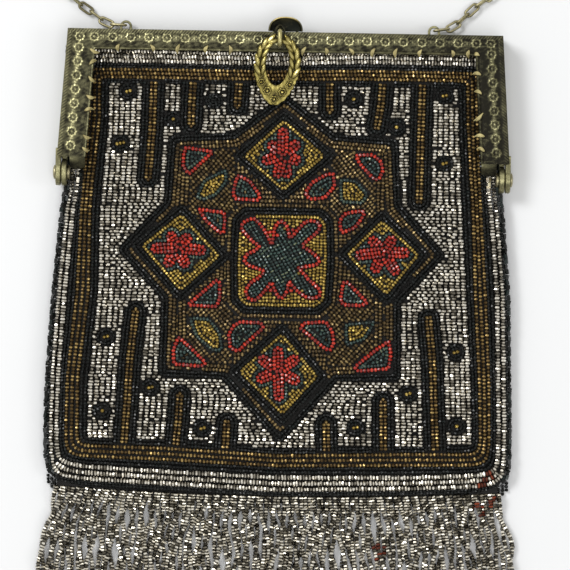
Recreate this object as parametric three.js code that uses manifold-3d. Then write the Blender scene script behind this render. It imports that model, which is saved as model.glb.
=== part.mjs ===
// Beaded evening purse on a stamped brass frame, lying on its back. Sizes are in millimetres.
// +X runs to the right along the frame, +Y up the purse towards the chain, +Z out of its beaded front.
// The origin is the middle of the back jaw's top bar, on the flat back that rests on the surface at z = 0.
import * as THREE from "three";
import { mergeVertices } from "three/addons/utils/BufferGeometryUtils.js";
import Module from "manifold-3d";

const wasm = await Module();
wasm.setup();

// Clearance that neighbouring pieces keep.
const GAP = 0.3;

// The two U-shaped jaws, closed. A depth is measured down the purse from the frame's top edge.
const FRAME = {
  halfWidth: 75.1,
  splay: 3,
  armLength: 44.3,
  bar: 7.1,
  arm: 10,
  thickness: 12,
  sheet: 0.9,
};

// Raised ornament on the front jaw. Margins run from the outer edge to the middle of a row.
const RELIEF = {
  height: 0.4,
  rimTop: 1.5,
  rimSide: 1.7,
  lip: 0.8,
  rosetteRadius: 1.8,
  ringInner: 1.05,
  budRadius: 0.5,
  leafLength: 1.5,
  leafWidth: 0.9,
  topCount: 22,
  topMargin: 2.8,
  cornerMargin: 9.2,
  armCount: 8,
  armMargin: 4.4,
  armStart: 6.6,
  armEnd: 3.8,
};

// Round lobes at the arm ends, riveted one inside the other, and the turned-down tab beside them.
const HINGE = {
  radius: 4.6,
  below: 5.3,
  lobe: 1.75,
  proud: 0.55,
  pinRadius: 1.2,
  headRadius: 2.5,
  head: 0.8,
  neck: 3.9,
  tabInset: 4.4,
  tabWidth: 5.2,
  tabDrop: 2.8,
  tabReach: 4.4,
};

// The dished thumb lever on the top edge, its barrel and the eye that holds the jump ring.
const LEVER = {
  radius: 5.75,
  dish: 1.9,
  sheet: 0.7,
  rim: 0.65,
  barrelRadius: 1.5,
  barrelLength: 6.4,
  axleRadius: 0.55,
  lug: 1,
  lugReach: 1,
  above: 1.85,
  height: 8.2,
  eyeX: -1.9,
  eyeHole: 1.1,
  eyeRing: 0.8,
};

// The jump ring stands across the frame's front and hangs the wreath from the lever's eye.
const RING = {
  length: 6.5,
  wire: 1.6,
  room: 1.6,
};

const WREATH = {
  halfWidth: 8.25,
  length: 23.2,
  shoulder: 10.2,
  openHalfWidth: 4.2,
  openLength: 14.2,
  rail: 1.2,
  plate: 0.9,
  leafCount: 5,
  leafLength: 4.2,
  leafWidth: 1.9,
  leafHeight: 1.3,
  tilt: 8.6,
  lean: 4.5,
};

// A chain link, and how often the plain tube that holds the chain's room has a section.
const LINK = {
  length: 6.2,
  width: 3.2,
  wire: 0.9,
  tubeStep: 7,
};

const EAR = {
  leftX: -55.4,
  rightX: 51.5,
  radius: 1.7,
  leg: 1.4,
  wire: 0.9,
  height: 3.4,
};

// The chain's route between its two ears, laid on the surface: [x, y, z] of a few chosen points.
const CHAIN_ROUTE = [
  [-61.6, 6.0, 2.5],
  [-66.2, 9.0, 1.75],
  [-72.4, 13.3, 1.65],
  [-78.6, 19.2, 1.65],
  [-82.8, 28.0, 1.65],
  [-83.6, 39.0, 1.65],
  [-78.4, 53.0, 1.65],
  [-66.0, 66.0, 1.65],
  [-47.0, 76.6, 1.65],
  [-24.0, 82.8, 1.65],
  [0.0, 84.8, 1.65],
  [24.0, 83.2, 1.65],
  [45.5, 77.6, 1.65],
  [63.4, 67.2, 1.65],
  [75.4, 54.0, 1.65],
  [80.4, 40.6, 1.65],
  [78.8, 28.6, 1.65],
  [73.0, 19.8, 1.65],
  [65.4, 13.6, 1.65],
  [61.0, 9.4, 1.75],
  [57.4, 6.6, 2.5],
];

const BAG = {
  length: 156.5,
  mouth: 1.5,
  halfWidth: 81,
  thickness: 12.3,
  wall: 2,
  ease: 1.9,
  seam: 0.32,
  sag: 2.6,
};

// Where the bag has rows inside the frame, as shares of the arm's length below the top edge.
const FRAME_ROWS = [0.04, 0.45, 0.82];

// Bag rows from the hinges down. along is a share of the free length below the arms, width of
// the bag's half width, front of its thickness, and back a share of the lift inside the frame.
const BODY_ROWS = [
  { along: 0.01, width: 0.87, front: 0.87, back: 0.9, sag: 0 },
  { along: 0.08, width: 0.878, front: 0.9, back: 0.45, sag: 0 },
  { along: 0.145, width: 0.937, front: 0.94, back: 0, sag: 0 },
  { along: 0.26, width: 0.957, front: 0.97, back: 0, sag: 0 },
  { along: 0.43, width: 0.975, front: 0.93, back: 0, sag: 0.1 },
  { along: 0.63, width: 0.992, front: 0.97, back: 0, sag: 0.3 },
  { along: 0.8, width: 1, front: 0.88, back: 0, sag: 0.6 },
  { along: 0.92, width: 0.992, front: 0.74, back: 0, sag: 0.9 },
  { along: 0.975, width: 0.972, front: 0.6, back: 0, sag: 1 },
  { along: 1, width: 0.952, front: 0.44, back: 0, sag: 1 },
];

// Where a bag section has its corners, as shares of its half width.
const SECTION_STOPS = [-1, -0.985, -0.93, -0.8, -0.6, -0.3, 0, 0.3, 0.6, 0.8, 0.93, 0.985, 1];

const FRINGE = {
  head: 2.4,
  headHeight: 4.8,
  inset: 3,
  length: 66,
  count: 32,
  strip: 3.9,
  swing: 1.3,
  lean: 5,
  low: 3.3,
  high: 4.3,
};

// How one fringe strip swings from side to side and narrows. along is a share of its length.
const STRIP_ROWS = [
  { along: 0, swing: 0, width: 0.9 },
  { along: 0.22, swing: 0.9, width: 1 },
  { along: 0.48, swing: -0.8, width: 0.96 },
  { along: 0.75, swing: 1, width: 0.92 },
  { along: 0.94, swing: 0.2, width: 0.84 },
  { along: 1, swing: 0, width: 0.45 },
];

const TOP = FRAME.bar / 2;
const BACK_ROOM = FRAME.sheet + GAP;
const FRONT_ROOM = FRAME.thickness - FRAME.sheet - GAP;
const HINGE_Y = TOP - FRAME.armLength - HINGE.below;
const HINGE_Z = FRAME.thickness / 2;
const FRONT_LOBE = FRAME.halfWidth + FRAME.splay + HINGE.proud - HINGE.lobe;
const BACK_LOBE = FRONT_LOBE - GAP - HINGE.lobe;
const PIN_END = BACK_LOBE - GAP - HINGE.head;
const AXLE_Y = TOP + LEVER.above;
const RING_BACK = FRAME.thickness + RELIEF.height + GAP;
const RING_MIDDLE = RING_BACK + RING.wire + RING.room / 2;
const EYE_Y = TOP + 0.15;
const RING_Y = EYE_Y - (RING.length - RING.wire) / 2;
const LINK_STEP = LINK.length - 2 * LINK.wire;
const BAG_END = BAG.mouth + BAG.length;

const MATERIALS = {
  brass: { color: 0x6f6638, roughness: 0.45, metalness: 0.9 },
  brightBrass: { color: 0xa8923f, roughness: 0.35, metalness: 0.95 },
  darkBrass: { color: 0x3a3826, roughness: 0.5, metalness: 0.8 },
  beads: { color: 0x6b6a66, roughness: 0.4, metalness: 0.3 },
  silverBeads: { color: 0x9c9a94, roughness: 0.35, metalness: 0.5 },
};

// The y of a point that lies so far below the frame's top edge.
function yAt(depth) {
  return TOP - depth;
}

// The frame's outer half width at a depth: its arms splay outwards.
function outerX(depth) {
  return FRAME.halfWidth + (FRAME.splay * depth) / FRAME.armLength;
}

// A closed three.js geometry as a solid that can be joined and cut.
function solid(geometry) {
  const bare = geometry.clone();
  bare.deleteAttribute("normal");
  bare.deleteAttribute("uv");
  const merged = mergeVertices(bare, 1e-4);
  return new wasm.Manifold(
    new wasm.Mesh({
      numProp: 3,
      vertProperties: new Float32Array(merged.attributes.position.array),
      triVerts: new Uint32Array(merged.index.array),
    }),
  );
}

function join(solids) {
  return solids.reduce((whole, next) => whole.add(next));
}

// A named mesh from a joined solid.
function mesh(name, shape, look) {
  const made = shape.getMesh();
  const geometry = new THREE.BufferGeometry();
  geometry.setAttribute("position", new THREE.BufferAttribute(made.vertProperties, 3));
  geometry.setIndex(new THREE.BufferAttribute(made.triVerts, 1));
  geometry.computeVertexNormals();
  const piece = new THREE.Mesh(geometry, new THREE.MeshStandardMaterial(MATERIALS[look]));
  piece.name = name;
  return piece;
}

// A flat outline, with holes if given, raised from one height to another.
function slab(points, from, to, holes = []) {
  const shape = new THREE.Shape(points.map(([x, y]) => new THREE.Vector2(x, y)));
  for (const hole of holes) {
    shape.holes.push(new THREE.Path(hole.map(([x, y]) => new THREE.Vector2(x, y))));
  }
  const geometry = new THREE.ExtrudeGeometry(shape, { depth: to - from, bevelEnabled: false });
  return geometry.translate(0, 0, from);
}

function box(low, high) {
  const size = high.map((value, axis) => value - low[axis]);
  const middle = high.map((value, axis) => (value + low[axis]) / 2);
  return solid(new THREE.BoxGeometry(...size).translate(...middle));
}

// A round bar along X between two x values.
function barAlongX(radius, from, to, y, z, sides) {
  const bar = new THREE.CylinderGeometry(radius, radius, to - from, sides);
  return solid(bar.rotateZ(Math.PI / 2).translate((from + to) / 2, y, z));
}

// Points of a regular outline round a centre.
function ringPoints(count, radiusX, radiusY, x = 0, y = 0, turn = 0) {
  return Array.from({ length: count }, (_, i) => {
    const angle = turn + (2 * Math.PI * i) / count;
    return [x + radiusX * Math.cos(angle), y + radiusY * Math.sin(angle)];
  });
}

// A wire loop with two straight sides along X: a torus whose halves are drawn apart.
function wireLoop(length, width, wire, around, sides) {
  const radius = (width - wire) / 2;
  const stretch = (length - width) / 2;
  const loop = new THREE.TorusGeometry(radius, wire / 2, sides, around);
  const places = loop.attributes.position;
  for (let i = 0; i < places.count; i += 1) {
    places.setX(i, places.getX(i) + Math.sign(places.getX(i)) * stretch);
  }
  return loop;
}

// A U-shaped strip of the jaw between two insets from its outer edge, for the bar and the arms.
function uStrip(topFrom, topTo, sideFrom, sideTo) {
  const end = FRAME.armLength;
  const half = [
    [outerX(topFrom) - sideFrom, yAt(topFrom)],
    [outerX(end) - sideFrom, yAt(end)],
    [outerX(end) - sideTo, yAt(end)],
    [outerX(topTo) - sideTo, yAt(topTo)],
  ];
  return [...half, ...half.map(([x, y]) => [-x, y]).reverse()];
}

// One jaw: a flat U-shaped plate with a wall along its outer edge, up to the parting of the jaws.
function jaw(front) {
  const parting = FRAME.thickness / 2 + (front ? GAP / 2 : -GAP / 2);
  const face = front ? FRAME.thickness : 0;
  const inside = front ? face - FRAME.sheet : FRAME.sheet;
  const plate = uStrip(0, FRAME.bar, 0, FRAME.arm);
  const wall = uStrip(0, FRAME.sheet, 0, FRAME.sheet);
  return [
    solid(slab(plate, Math.min(face, inside), Math.max(face, inside))),
    solid(slab(wall, Math.min(face, parting), Math.max(face, parting))),
  ];
}

// Where the rosettes stand: one row on the bar and one on each arm.
function rosettePlaces() {
  const places = [];
  const reach = FRAME.halfWidth - RELIEF.cornerMargin;
  for (let i = 0; i < RELIEF.topCount; i += 1) {
    places.push([-reach + (2 * reach * i) / (RELIEF.topCount - 1), yAt(RELIEF.topMargin)]);
  }
  const run = FRAME.armLength - RELIEF.armEnd - RELIEF.armStart;
  for (let i = 0; i < RELIEF.armCount; i += 1) {
    const depth = RELIEF.armStart + (run * i) / (RELIEF.armCount - 1);
    const x = outerX(depth) - RELIEF.armMargin;
    places.push([x, yAt(depth)], [-x, yAt(depth)]);
  }
  return places;
}

// A rosette is a raised ring with a bud in its middle.
function rosettes() {
  const root = FRAME.thickness - FRAME.sheet / 2;
  const top = FRAME.thickness + RELIEF.height;
  return rosettePlaces().flatMap(([x, y]) => {
    const hole = ringPoints(6, RELIEF.ringInner, RELIEF.ringInner, x, y);
    const edge = ringPoints(8, RELIEF.rosetteRadius, RELIEF.rosetteRadius, x, y);
    const bud = ringPoints(4, RELIEF.budRadius, RELIEF.budRadius, x, y);
    return [solid(slab(edge, root, top, [hole])), solid(slab(bud, root, top))];
  });
}

// Small raised leaves halfway between the rosettes of a row.
function rosetteLeaves() {
  const root = FRAME.thickness - FRAME.sheet / 2;
  const top = FRAME.thickness + RELIEF.height * 0.6;
  const reach = FRAME.halfWidth - RELIEF.cornerMargin;
  const pitch = (2 * reach) / (RELIEF.topCount - 1);
  const [long, wide] = [RELIEF.leafLength / 2, RELIEF.leafWidth / 2];
  const leaves = [];
  for (let i = 0; i < RELIEF.topCount - 1; i += 1) {
    const x = -reach + pitch * (i + 0.5);
    leaves.push(solid(slab(ringPoints(4, wide, long, x, yAt(RELIEF.topMargin)), root, top)));
  }
  return leaves;
}

function rims() {
  const root = FRAME.thickness - FRAME.sheet / 2;
  const top = FRAME.thickness + RELIEF.height;
  const outer = uStrip(0, RELIEF.rimTop, 0, RELIEF.rimSide);
  const inner = uStrip(FRAME.bar - RELIEF.lip, FRAME.bar, FRAME.arm - RELIEF.lip, FRAME.arm);
  return [solid(slab(outer, root, top - RELIEF.height / 2)), solid(slab(inner, root, top))];
}

// A riveted lobe of one jaw on one side, with the neck that carries it.
function lobe(side, inner, from, to) {
  const ends = [side * inner, side * (inner + HINGE.lobe)].sort((a, b) => a - b);
  const top = yAt(FRAME.armLength) + 3;
  return [
    barAlongX(HINGE.radius, ends[0], ends[1], HINGE_Y, HINGE_Z, 14),
    box([ends[0], HINGE_Y, from], [ends[1], top, to]),
  ];
}

function lobeBores() {
  const outer = FRONT_LOBE + HINGE.lobe + 1;
  return [-1, 1].map((side) => {
    const ends = [side * (BACK_LOBE - 1), side * outer].sort((a, b) => a - b);
    return barAlongX(HINGE.pinRadius + GAP, ends[0], ends[1], HINGE_Y, HINGE_Z, 10);
  });
}

// The tab that turns down from the front plate's end, beside the hinge.
function hingeTab(side) {
  const end = yAt(FRAME.armLength);
  const face = FRAME.thickness;
  const outline = [
    [end + 1, face - FRAME.sheet],
    [end + 1, face],
    [end, face],
    [end - HINGE.tabReach, face - HINGE.tabDrop],
    [end - HINGE.tabReach, face - HINGE.tabDrop - FRAME.sheet],
    [end - 0.4, face - FRAME.sheet],
  ];
  const outer = outerX(FRAME.armLength) - HINGE.tabInset;
  const from = side > 0 ? outer - HINGE.tabWidth : -outer;
  const tab = slab(outline, 0, HINGE.tabWidth);
  // The outline is drawn in Y and Z and raised along X.
  tab.applyMatrix4(new THREE.Matrix4().set(0, 0, 1, from, 1, 0, 0, 0, 0, 1, 0, 0, 0, 0, 0, 1));
  return solid(tab);
}

// The lever's axle, held by two lugs on the front jaw's top edge.
function leverMount() {
  const half = LEVER.barrelLength / 2 + GAP;
  const low = LEVER.height - LEVER.lugReach;
  const high = LEVER.height + LEVER.lugReach;
  const lugs = [-half - LEVER.lug, half].map((from) =>
    box([from, TOP - 0.2, low], [from + LEVER.lug, AXLE_Y + LEVER.lugReach, high]),
  );
  const end = half + LEVER.lug / 2;
  return [...lugs, barAlongX(LEVER.axleRadius, -end, end, AXLE_Y, LEVER.height, 8)];
}

function frameFront() {
  const middle = HINGE_Z;
  const parts = [...jaw(true), ...rims(), ...rosettes(), ...rosetteLeaves(), ...leverMount()];
  for (const side of [-1, 1]) {
    parts.push(...lobe(side, FRONT_LOBE, middle + GAP, middle + HINGE.neck), hingeTab(side));
  }
  return mesh("frame_front", join(parts).subtract(join(lobeBores())), "brass");
}

// A wire arch that stands on the frame's top edge and holds one end of the chain.
function ear(x) {
  const length = 2 * (EAR.leg + EAR.radius) + EAR.wire;
  const arch = wireLoop(length, 2 * EAR.radius + EAR.wire, EAR.wire, 12, 6);
  arch.rotateZ(Math.PI / 2).translate(x, TOP, EAR.height);
  const kept = box([x - length, TOP - FRAME.sheet / 2, 0], [x + length, TOP + length, 2 * EAR.height]);
  return solid(arch).intersect(kept);
}

function frameBack() {
  const middle = HINGE_Z;
  const end = yAt(FRAME.armLength);
  const parts = [...jaw(false), ear(EAR.leftX), ear(EAR.rightX)];
  const wallX = outerX(FRAME.armLength) - FRAME.sheet / 2;
  for (const side of [-1, 1]) {
    parts.push(...lobe(side, BACK_LOBE, middle - HINGE.neck, middle - GAP));
    const ends = [side * BACK_LOBE, side * wallX].sort((a, b) => a - b);
    parts.push(box([ends[0], end + 0.4, middle - HINGE.neck], [ends[1], end + 3, middle - GAP]));
  }
  return mesh("frame_back", join(parts).subtract(join(lobeBores())), "brass");
}

// A rivet through both lobes of one side, headed at each end.
function hingePin(name, side) {
  const outer = FRONT_LOBE + HINGE.lobe + GAP;
  const profile = [
    [0, PIN_END],
    [HINGE.headRadius, PIN_END],
    [HINGE.headRadius, PIN_END + HINGE.head],
    [HINGE.pinRadius, PIN_END + HINGE.head],
    [HINGE.pinRadius, outer],
    [HINGE.headRadius, outer],
    [HINGE.headRadius, outer + HINGE.head],
    [0, outer + HINGE.head],
  ].map(([radius, along]) => new THREE.Vector2(radius, along));
  const pin = new THREE.LatheGeometry(profile, 10).rotateZ((-side * Math.PI) / 2);
  return mesh(name, solid(pin.translate(0, HINGE_Y, HINGE_Z)), "brightBrass");
}

// The half dish, a shallow cup open to the front with a thick rim, that the thumb pushes.
function leverDish() {
  const bottom = LEVER.height + LEVER.barrelRadius - LEVER.sheet;
  const rimTop = bottom + LEVER.dish + LEVER.sheet;
  const profile = [
    [0, bottom],
    [LEVER.radius * 0.6, bottom + LEVER.dish * 0.35],
    [LEVER.radius, rimTop - 2 * LEVER.rim],
    [LEVER.radius + LEVER.rim / 2, rimTop - LEVER.rim],
    [LEVER.radius, rimTop],
    [LEVER.radius - LEVER.rim, rimTop],
    [LEVER.radius * 0.6, bottom + LEVER.dish * 0.35 + LEVER.sheet],
    [0, bottom + LEVER.sheet],
  ].map(([radius, height]) => new THREE.Vector2(radius, height));
  const cup = new THREE.LatheGeometry(profile, 16).rotateX(Math.PI / 2).translate(0, TOP + GAP, 0);
  const reach = LEVER.radius + LEVER.rim;
  const kept = box([-reach, TOP + GAP, 0], [reach, TOP + GAP + reach, 2 * FRAME.thickness]);
  return solid(cup).intersect(kept);
}

// The eye in front of the frame's rim, on a strap that comes forward from the dish.
function leverEye() {
  const outer = LEVER.eyeHole + LEVER.eyeRing;
  const half = (RING.room - 2 * GAP) / 2;
  const low = RING_MIDDLE - half;
  const high = RING_MIDDLE + half;
  const hole = ringPoints(10, LEVER.eyeHole, LEVER.eyeHole, LEVER.eyeX, EYE_Y);
  const base = EYE_Y + LEVER.eyeHole + 0.1;
  const strap = box(
    [LEVER.eyeX - LEVER.eyeRing, base, LEVER.height + LEVER.barrelRadius],
    [LEVER.eyeX + LEVER.eyeRing, base + LEVER.eyeRing, high],
  );
  return [solid(slab(ringPoints(12, outer, outer, LEVER.eyeX, EYE_Y), low, high, [hole])), strap];
}

function claspLever() {
  const half = LEVER.barrelLength / 2;
  const barrel = barAlongX(LEVER.barrelRadius, -half, half, AXLE_Y, LEVER.height, 12);
  const bore = barAlongX(LEVER.axleRadius + GAP, -half - 1, half + 1, AXLE_Y, LEVER.height, 8);
  return mesh("clasp_lever", join([leverDish(), barrel, ...leverEye()]).subtract(bore), "darkBrass");
}

function claspBail() {
  const ring = wireLoop(RING.length, 2 * RING.wire + RING.room, RING.wire, 12, 6);
  ring.rotateZ(Math.PI / 2).rotateY(Math.PI / 2).translate(LEVER.eyeX, RING_Y, RING_MIDDLE);
  return mesh("clasp_bail", solid(ring), "brightBrass");
}

// The wreath's outline in its own plane, hung from (0, 0): a half oval above, a blunt shield below.
function wreathOutline() {
  const drop = WREATH.shoulder;
  const upper = Array.from({ length: 9 }, (_, i) => {
    const angle = (Math.PI * i) / 8;
    return [WREATH.halfWidth * 0.88 * Math.cos(angle), -drop + drop * Math.sin(angle)];
  });
  const lower = WREATH.length - drop;
  const shield = [
    [-0.84, 0.35],
    [-0.66, 0.62],
    [-0.42, 0.86],
    [-0.14, 1],
    [0.14, 1],
    [0.42, 0.86],
    [0.66, 0.62],
    [0.84, 0.35],
  ].map(([across, down]) => [across * WREATH.halfWidth, -drop - down * lower]);
  return [...upper, ...shield];
}

// Overlapping laurel leaves in two rows up each side, each a stretched octahedron.
function wreathLeaves() {
  const leaves = [];
  const rows = [
    { across: WREATH.halfWidth - WREATH.leafWidth * 0.45, spread: 0.42 },
    { across: WREATH.openHalfWidth + WREATH.leafWidth * 0.5, spread: -0.3 },
  ];
  for (const side of [-1, 1]) {
    for (const row of rows) {
      for (let i = 0; i < WREATH.leafCount; i += 1) {
        const angle = -0.3 + (1.45 * i) / (WREATH.leafCount - 1);
        const rise = row.across + WREATH.shoulder - WREATH.halfWidth;
        const x = side * row.across * Math.cos(angle);
        const y = -WREATH.shoulder + rise * Math.sin(angle);
        const leaf = new THREE.OctahedronGeometry(0.5);
        leaf.scale(WREATH.leafWidth, WREATH.leafLength, WREATH.leafHeight);
        leaf.rotateZ(side * (angle - row.spread)).translate(x, y, WREATH.plate);
        leaves.push(solid(leaf));
      }
    }
  }
  return leaves;
}

// Five small raised flowers on the shield below the opening.
function wreathFlowers() {
  const places = [
    [-0.66, 0.2],
    [-0.36, 0.52],
    [0, 0.8],
    [0.36, 0.52],
    [0.66, 0.2],
  ];
  const lower = WREATH.length - WREATH.shoulder;
  return places.map(([across, down]) => {
    const x = across * WREATH.halfWidth;
    const y = -WREATH.shoulder - down * lower;
    const flower = ringPoints(8, 1.25, 1.25, x, y);
    return solid(slab(flower, WREATH.plate / 2, WREATH.plate + 0.5));
  });
}

function wreathDrop() {
  const opening = WREATH.openLength / 2;
  const hole = ringPoints(14, WREATH.openHalfWidth, opening, 0, -WREATH.rail - opening);
  const plate = solid(slab(wreathOutline(), 0, WREATH.plate, [hole]));
  const place = new THREE.Matrix4()
    .makeTranslation(LEVER.eyeX, RING_Y - RING.length / 2 + RING.wire + GAP + WREATH.rail, RING_MIDDLE)
    .multiply(new THREE.Matrix4().makeRotationX(THREE.MathUtils.degToRad(WREATH.tilt)))
    .multiply(new THREE.Matrix4().makeRotationZ(THREE.MathUtils.degToRad(-WREATH.lean)))
    .multiply(new THREE.Matrix4().makeTranslation(0, 0, -WREATH.plate / 2));
  const wreath = mesh("wreath_drop", join([plate, ...wreathLeaves(), ...wreathFlowers()]), "brightBrass");
  wreath.geometry.applyMatrix4(place);
  return wreath;
}

// The chain's whole route, from the bend of its first link inside one ear to that in the other.
function chainPath() {
  const inset = EAR.wire + GAP + LINK.wire / 2;
  const height = TOP + EAR.leg + LINK.wire / 2;
  const first = [EAR.leftX - EAR.radius + inset, height, EAR.height];
  const last = [EAR.rightX + EAR.radius - inset, height, EAR.height];
  const points = [first, ...CHAIN_ROUTE, last].map((point) => new THREE.Vector3(...point));
  const path = new THREE.CatmullRomCurve3(points);
  path.arcLengthDivisions = 2000;
  return path;
}

// The end link, which stands on edge and passes through the ear.
function endLink(start, end) {
  const along = end.clone().sub(start).normalize();
  const side = new THREE.Vector3(0, 0, 1).cross(along).normalize();
  const up = along.clone().cross(side);
  const place = new THREE.Matrix4().makeBasis(along, up, side.negate());
  place.setPosition(start.clone().addScaledVector(along, (LINK.length - LINK.wire) / 2));
  return solid(wireLoop(LINK.length, LINK.width, LINK.wire, 12, 6).applyMatrix4(place));
}

// A plain tube of the chain's width along part of its route, between two lengths from its start.
function chainTube(path, from, to) {
  const whole = path.getLength();
  const steps = Math.round((to - from) / LINK.tubeStep);
  const places = Array.from({ length: steps + 1 }, (_, i) =>
    path.getPointAt((from + ((to - from) * i) / steps) / whole),
  );
  const round = ringPoints(8, LINK.width / 2, LINK.width / 2);
  const section = new THREE.Shape(round.map(([x, y]) => new THREE.Vector2(x, y)));
  const extrudePath = new THREE.CatmullRomCurve3(places);
  return solid(new THREE.ExtrudeGeometry(section, { steps, extrudePath, bevelEnabled: false }));
}

// The chain's two halves, each an end link in an ear and the room of its links up to the middle.
function chains() {
  const path = chainPath();
  const whole = path.getLength();
  const reach = (length) => path.getPointAt(length / whole);
  const left = endLink(reach(0), reach(LINK_STEP));
  const right = endLink(reach(whole), reach(whole - LINK_STEP));
  const meet = (whole - GAP) / 2;
  return [
    mesh("chain_left", left.add(chainTube(path, LINK_STEP, meet)), "brass"),
    mesh("chain_right", right.add(chainTube(path, meet + GAP, whole - LINK_STEP)), "brass"),
  ];
}

// The bag's rows as real sizes: y, half width, heights of its front, back and side seam, and sag.
function bagRows() {
  const rows = FRAME_ROWS.map((along) => {
    const depth = Math.max(BAG.mouth, along * FRAME.armLength);
    return {
      y: yAt(depth),
      width: outerX(depth) - FRAME.sheet - GAP - BAG.ease,
      front: FRONT_ROOM,
      back: BACK_ROOM,
      sag: 0,
    };
  });
  const free = BAG_END - FRAME.armLength;
  for (const row of BODY_ROWS) {
    rows.push({
      y: yAt(FRAME.armLength + row.along * free),
      width: Math.min(row.width * BAG.halfWidth, row.along < 0.1 ? PIN_END - GAP - 1 : Infinity),
      front: row.front * BAG.thickness,
      back: row.back * BACK_ROOM,
      sag: row.sag * BAG.sag,
    });
  }
  return rows;
}

// One closed section of the bag, drawn in by so much on every side.
function bagSection(row, wall) {
  const width = row.width - wall;
  const front = row.front - wall;
  const back = row.back + wall;
  const seam = Math.min(Math.max(row.front * BAG.seam, back), front);
  const at = (share, height, power) => {
    const fall = Math.pow(1 - Math.pow(Math.abs(share), power), 0.5);
    const y = row.y - row.sag * (1 - share * share);
    return new THREE.Vector3(share * width, y, seam + (height - seam) * fall);
  };
  const over = SECTION_STOPS.map((share) => at(share, front, 4));
  const under = SECTION_STOPS.slice(1, -1).map((share) => at(share, back, 8));
  return [...over, ...under.reverse()];
}

// A closed skin through sections with equal numbers of points, with a flat cap at each end.
function loft(sections) {
  const around = sections[0].length;
  const places = sections.flat().flatMap((point) => [point.x, point.y, point.z]);
  const faces = [];
  for (let row = 0; row < sections.length - 1; row += 1) {
    for (let i = 0; i < around; i += 1) {
      const a = row * around + i;
      const b = row * around + ((i + 1) % around);
      faces.push(a, a + around, b, b, a + around, b + around);
    }
  }
  const last = (sections.length - 1) * around;
  for (let i = 1; i < around - 1; i += 1) {
    faces.push(0, i, i + 1, last, last + i + 1, last + i);
  }
  const geometry = new THREE.BufferGeometry();
  geometry.setAttribute("position", new THREE.Float32BufferAttribute(places, 3));
  geometry.setIndex(faces);
  return solid(geometry);
}

function bagBody() {
  const rows = bagRows();
  const outside = loft(rows.map((row) => bagSection(row, 0)));
  const inner = rows.slice(0, -2).map((row) => bagSection(row, BAG.wall));
  const open = bagSection({ ...rows[0], y: rows[0].y + 1 }, BAG.wall);
  const close = bagSection({ ...rows.at(-2), y: rows.at(-2).y + 1 }, BAG.wall);
  const inside = loft([open, ...inner.slice(1), close]);
  return mesh("bag_body", outside.subtract(inside), "beads");
}

// How far the bag's lower edge hangs below its corners at a share of its half width.
function edgeSag(share) {
  return BAG.sag * (1 - share * share);
}

// The band of beads along the bag's lower edge, which heads the fringe.
function fringeHead() {
  const half = BODY_ROWS.at(-1).width * BAG.halfWidth;
  const top = BAG_END + GAP;
  const upper = SECTION_STOPS.map((share) => [share * half, yAt(top) - edgeSag(share)]);
  const lower = upper.map(([x, y]) => [x, y - FRINGE.head]).reverse();
  return solid(slab([...upper, ...lower], 0, FRINGE.headHeight));
}

// One strip of the fringe, swinging from side to side on its way down.
function fringeStrip(share, swing, height) {
  const half = BODY_ROWS.at(-1).width * BAG.halfWidth - FRINGE.inset;
  const top = yAt(BAG_END + GAP + FRINGE.head / 2) - edgeSag(share);
  const sides = [1, -1].map((side) =>
    STRIP_ROWS.map((row) => [
      share * half +
        share * FRINGE.lean * row.along +
        swing * FRINGE.swing * row.swing +
        (side * row.width * FRINGE.strip) / 2,
      top - row.along * FRINGE.length,
    ]),
  );
  return solid(slab([...sides[0], ...sides[1].reverse()], 0, height));
}

function fringe() {
  const strips = Array.from({ length: FRINGE.count }, (_, i) => {
    const share = -1 + (2 * i) / (FRINGE.count - 1);
    const swing = Math.sin(2.4 * i);
    return fringeStrip(share, swing, i % 2 ? FRINGE.high : FRINGE.low);
  });
  return mesh("fringe", join([fringeHead(), ...strips]), "silverBeads");
}

const purse = new THREE.Group();
purse.name = "beaded_purse";
const clasp = new THREE.Group();
clasp.name = "clasp";
clasp.add(claspLever(), claspBail(), wreathDrop());
const frame = new THREE.Group();
frame.name = "frame";
frame.add(frameFront(), frameBack(), hingePin("hinge_pin_left", -1), hingePin("hinge_pin_right", 1));
purse.add(frame, clasp, ...chains(), bagBody(), fringe());

export default purse;
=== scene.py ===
"""Beaded evening purse: charted seed beads on cloth, stamped brass jaws, clasp, drop, chain and fringe."""

import logging
from collections.abc import Mapping, Sequence
from dataclasses import dataclass, field
from enum import Enum
from math import pi

import bpy
import numpy as np
import numpy.typing as npt
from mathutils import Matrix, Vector


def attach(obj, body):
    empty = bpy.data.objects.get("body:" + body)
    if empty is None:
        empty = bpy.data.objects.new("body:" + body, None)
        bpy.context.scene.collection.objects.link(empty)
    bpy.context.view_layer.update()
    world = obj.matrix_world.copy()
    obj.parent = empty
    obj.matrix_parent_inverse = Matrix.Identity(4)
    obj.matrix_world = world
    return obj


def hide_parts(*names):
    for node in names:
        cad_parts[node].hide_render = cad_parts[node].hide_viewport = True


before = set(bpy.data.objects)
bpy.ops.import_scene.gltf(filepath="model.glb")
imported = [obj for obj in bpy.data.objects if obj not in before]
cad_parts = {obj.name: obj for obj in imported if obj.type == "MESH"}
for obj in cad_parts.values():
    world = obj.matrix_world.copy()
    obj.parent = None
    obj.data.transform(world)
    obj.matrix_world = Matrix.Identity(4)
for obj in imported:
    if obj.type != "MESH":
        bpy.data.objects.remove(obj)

Array = npt.NDArray[np.float64]
Whole = npt.NDArray[np.int64]
Mask = npt.NDArray[np.bool_]
Look = bpy.types.Material
Colour = tuple[float, float, float]
Stops = tuple[tuple[float, Colour], ...]
Outline = tuple[tuple[float, float], ...]
Points = Array | Outline

log = logging.getLogger("purse")

MM = 0.001
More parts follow.
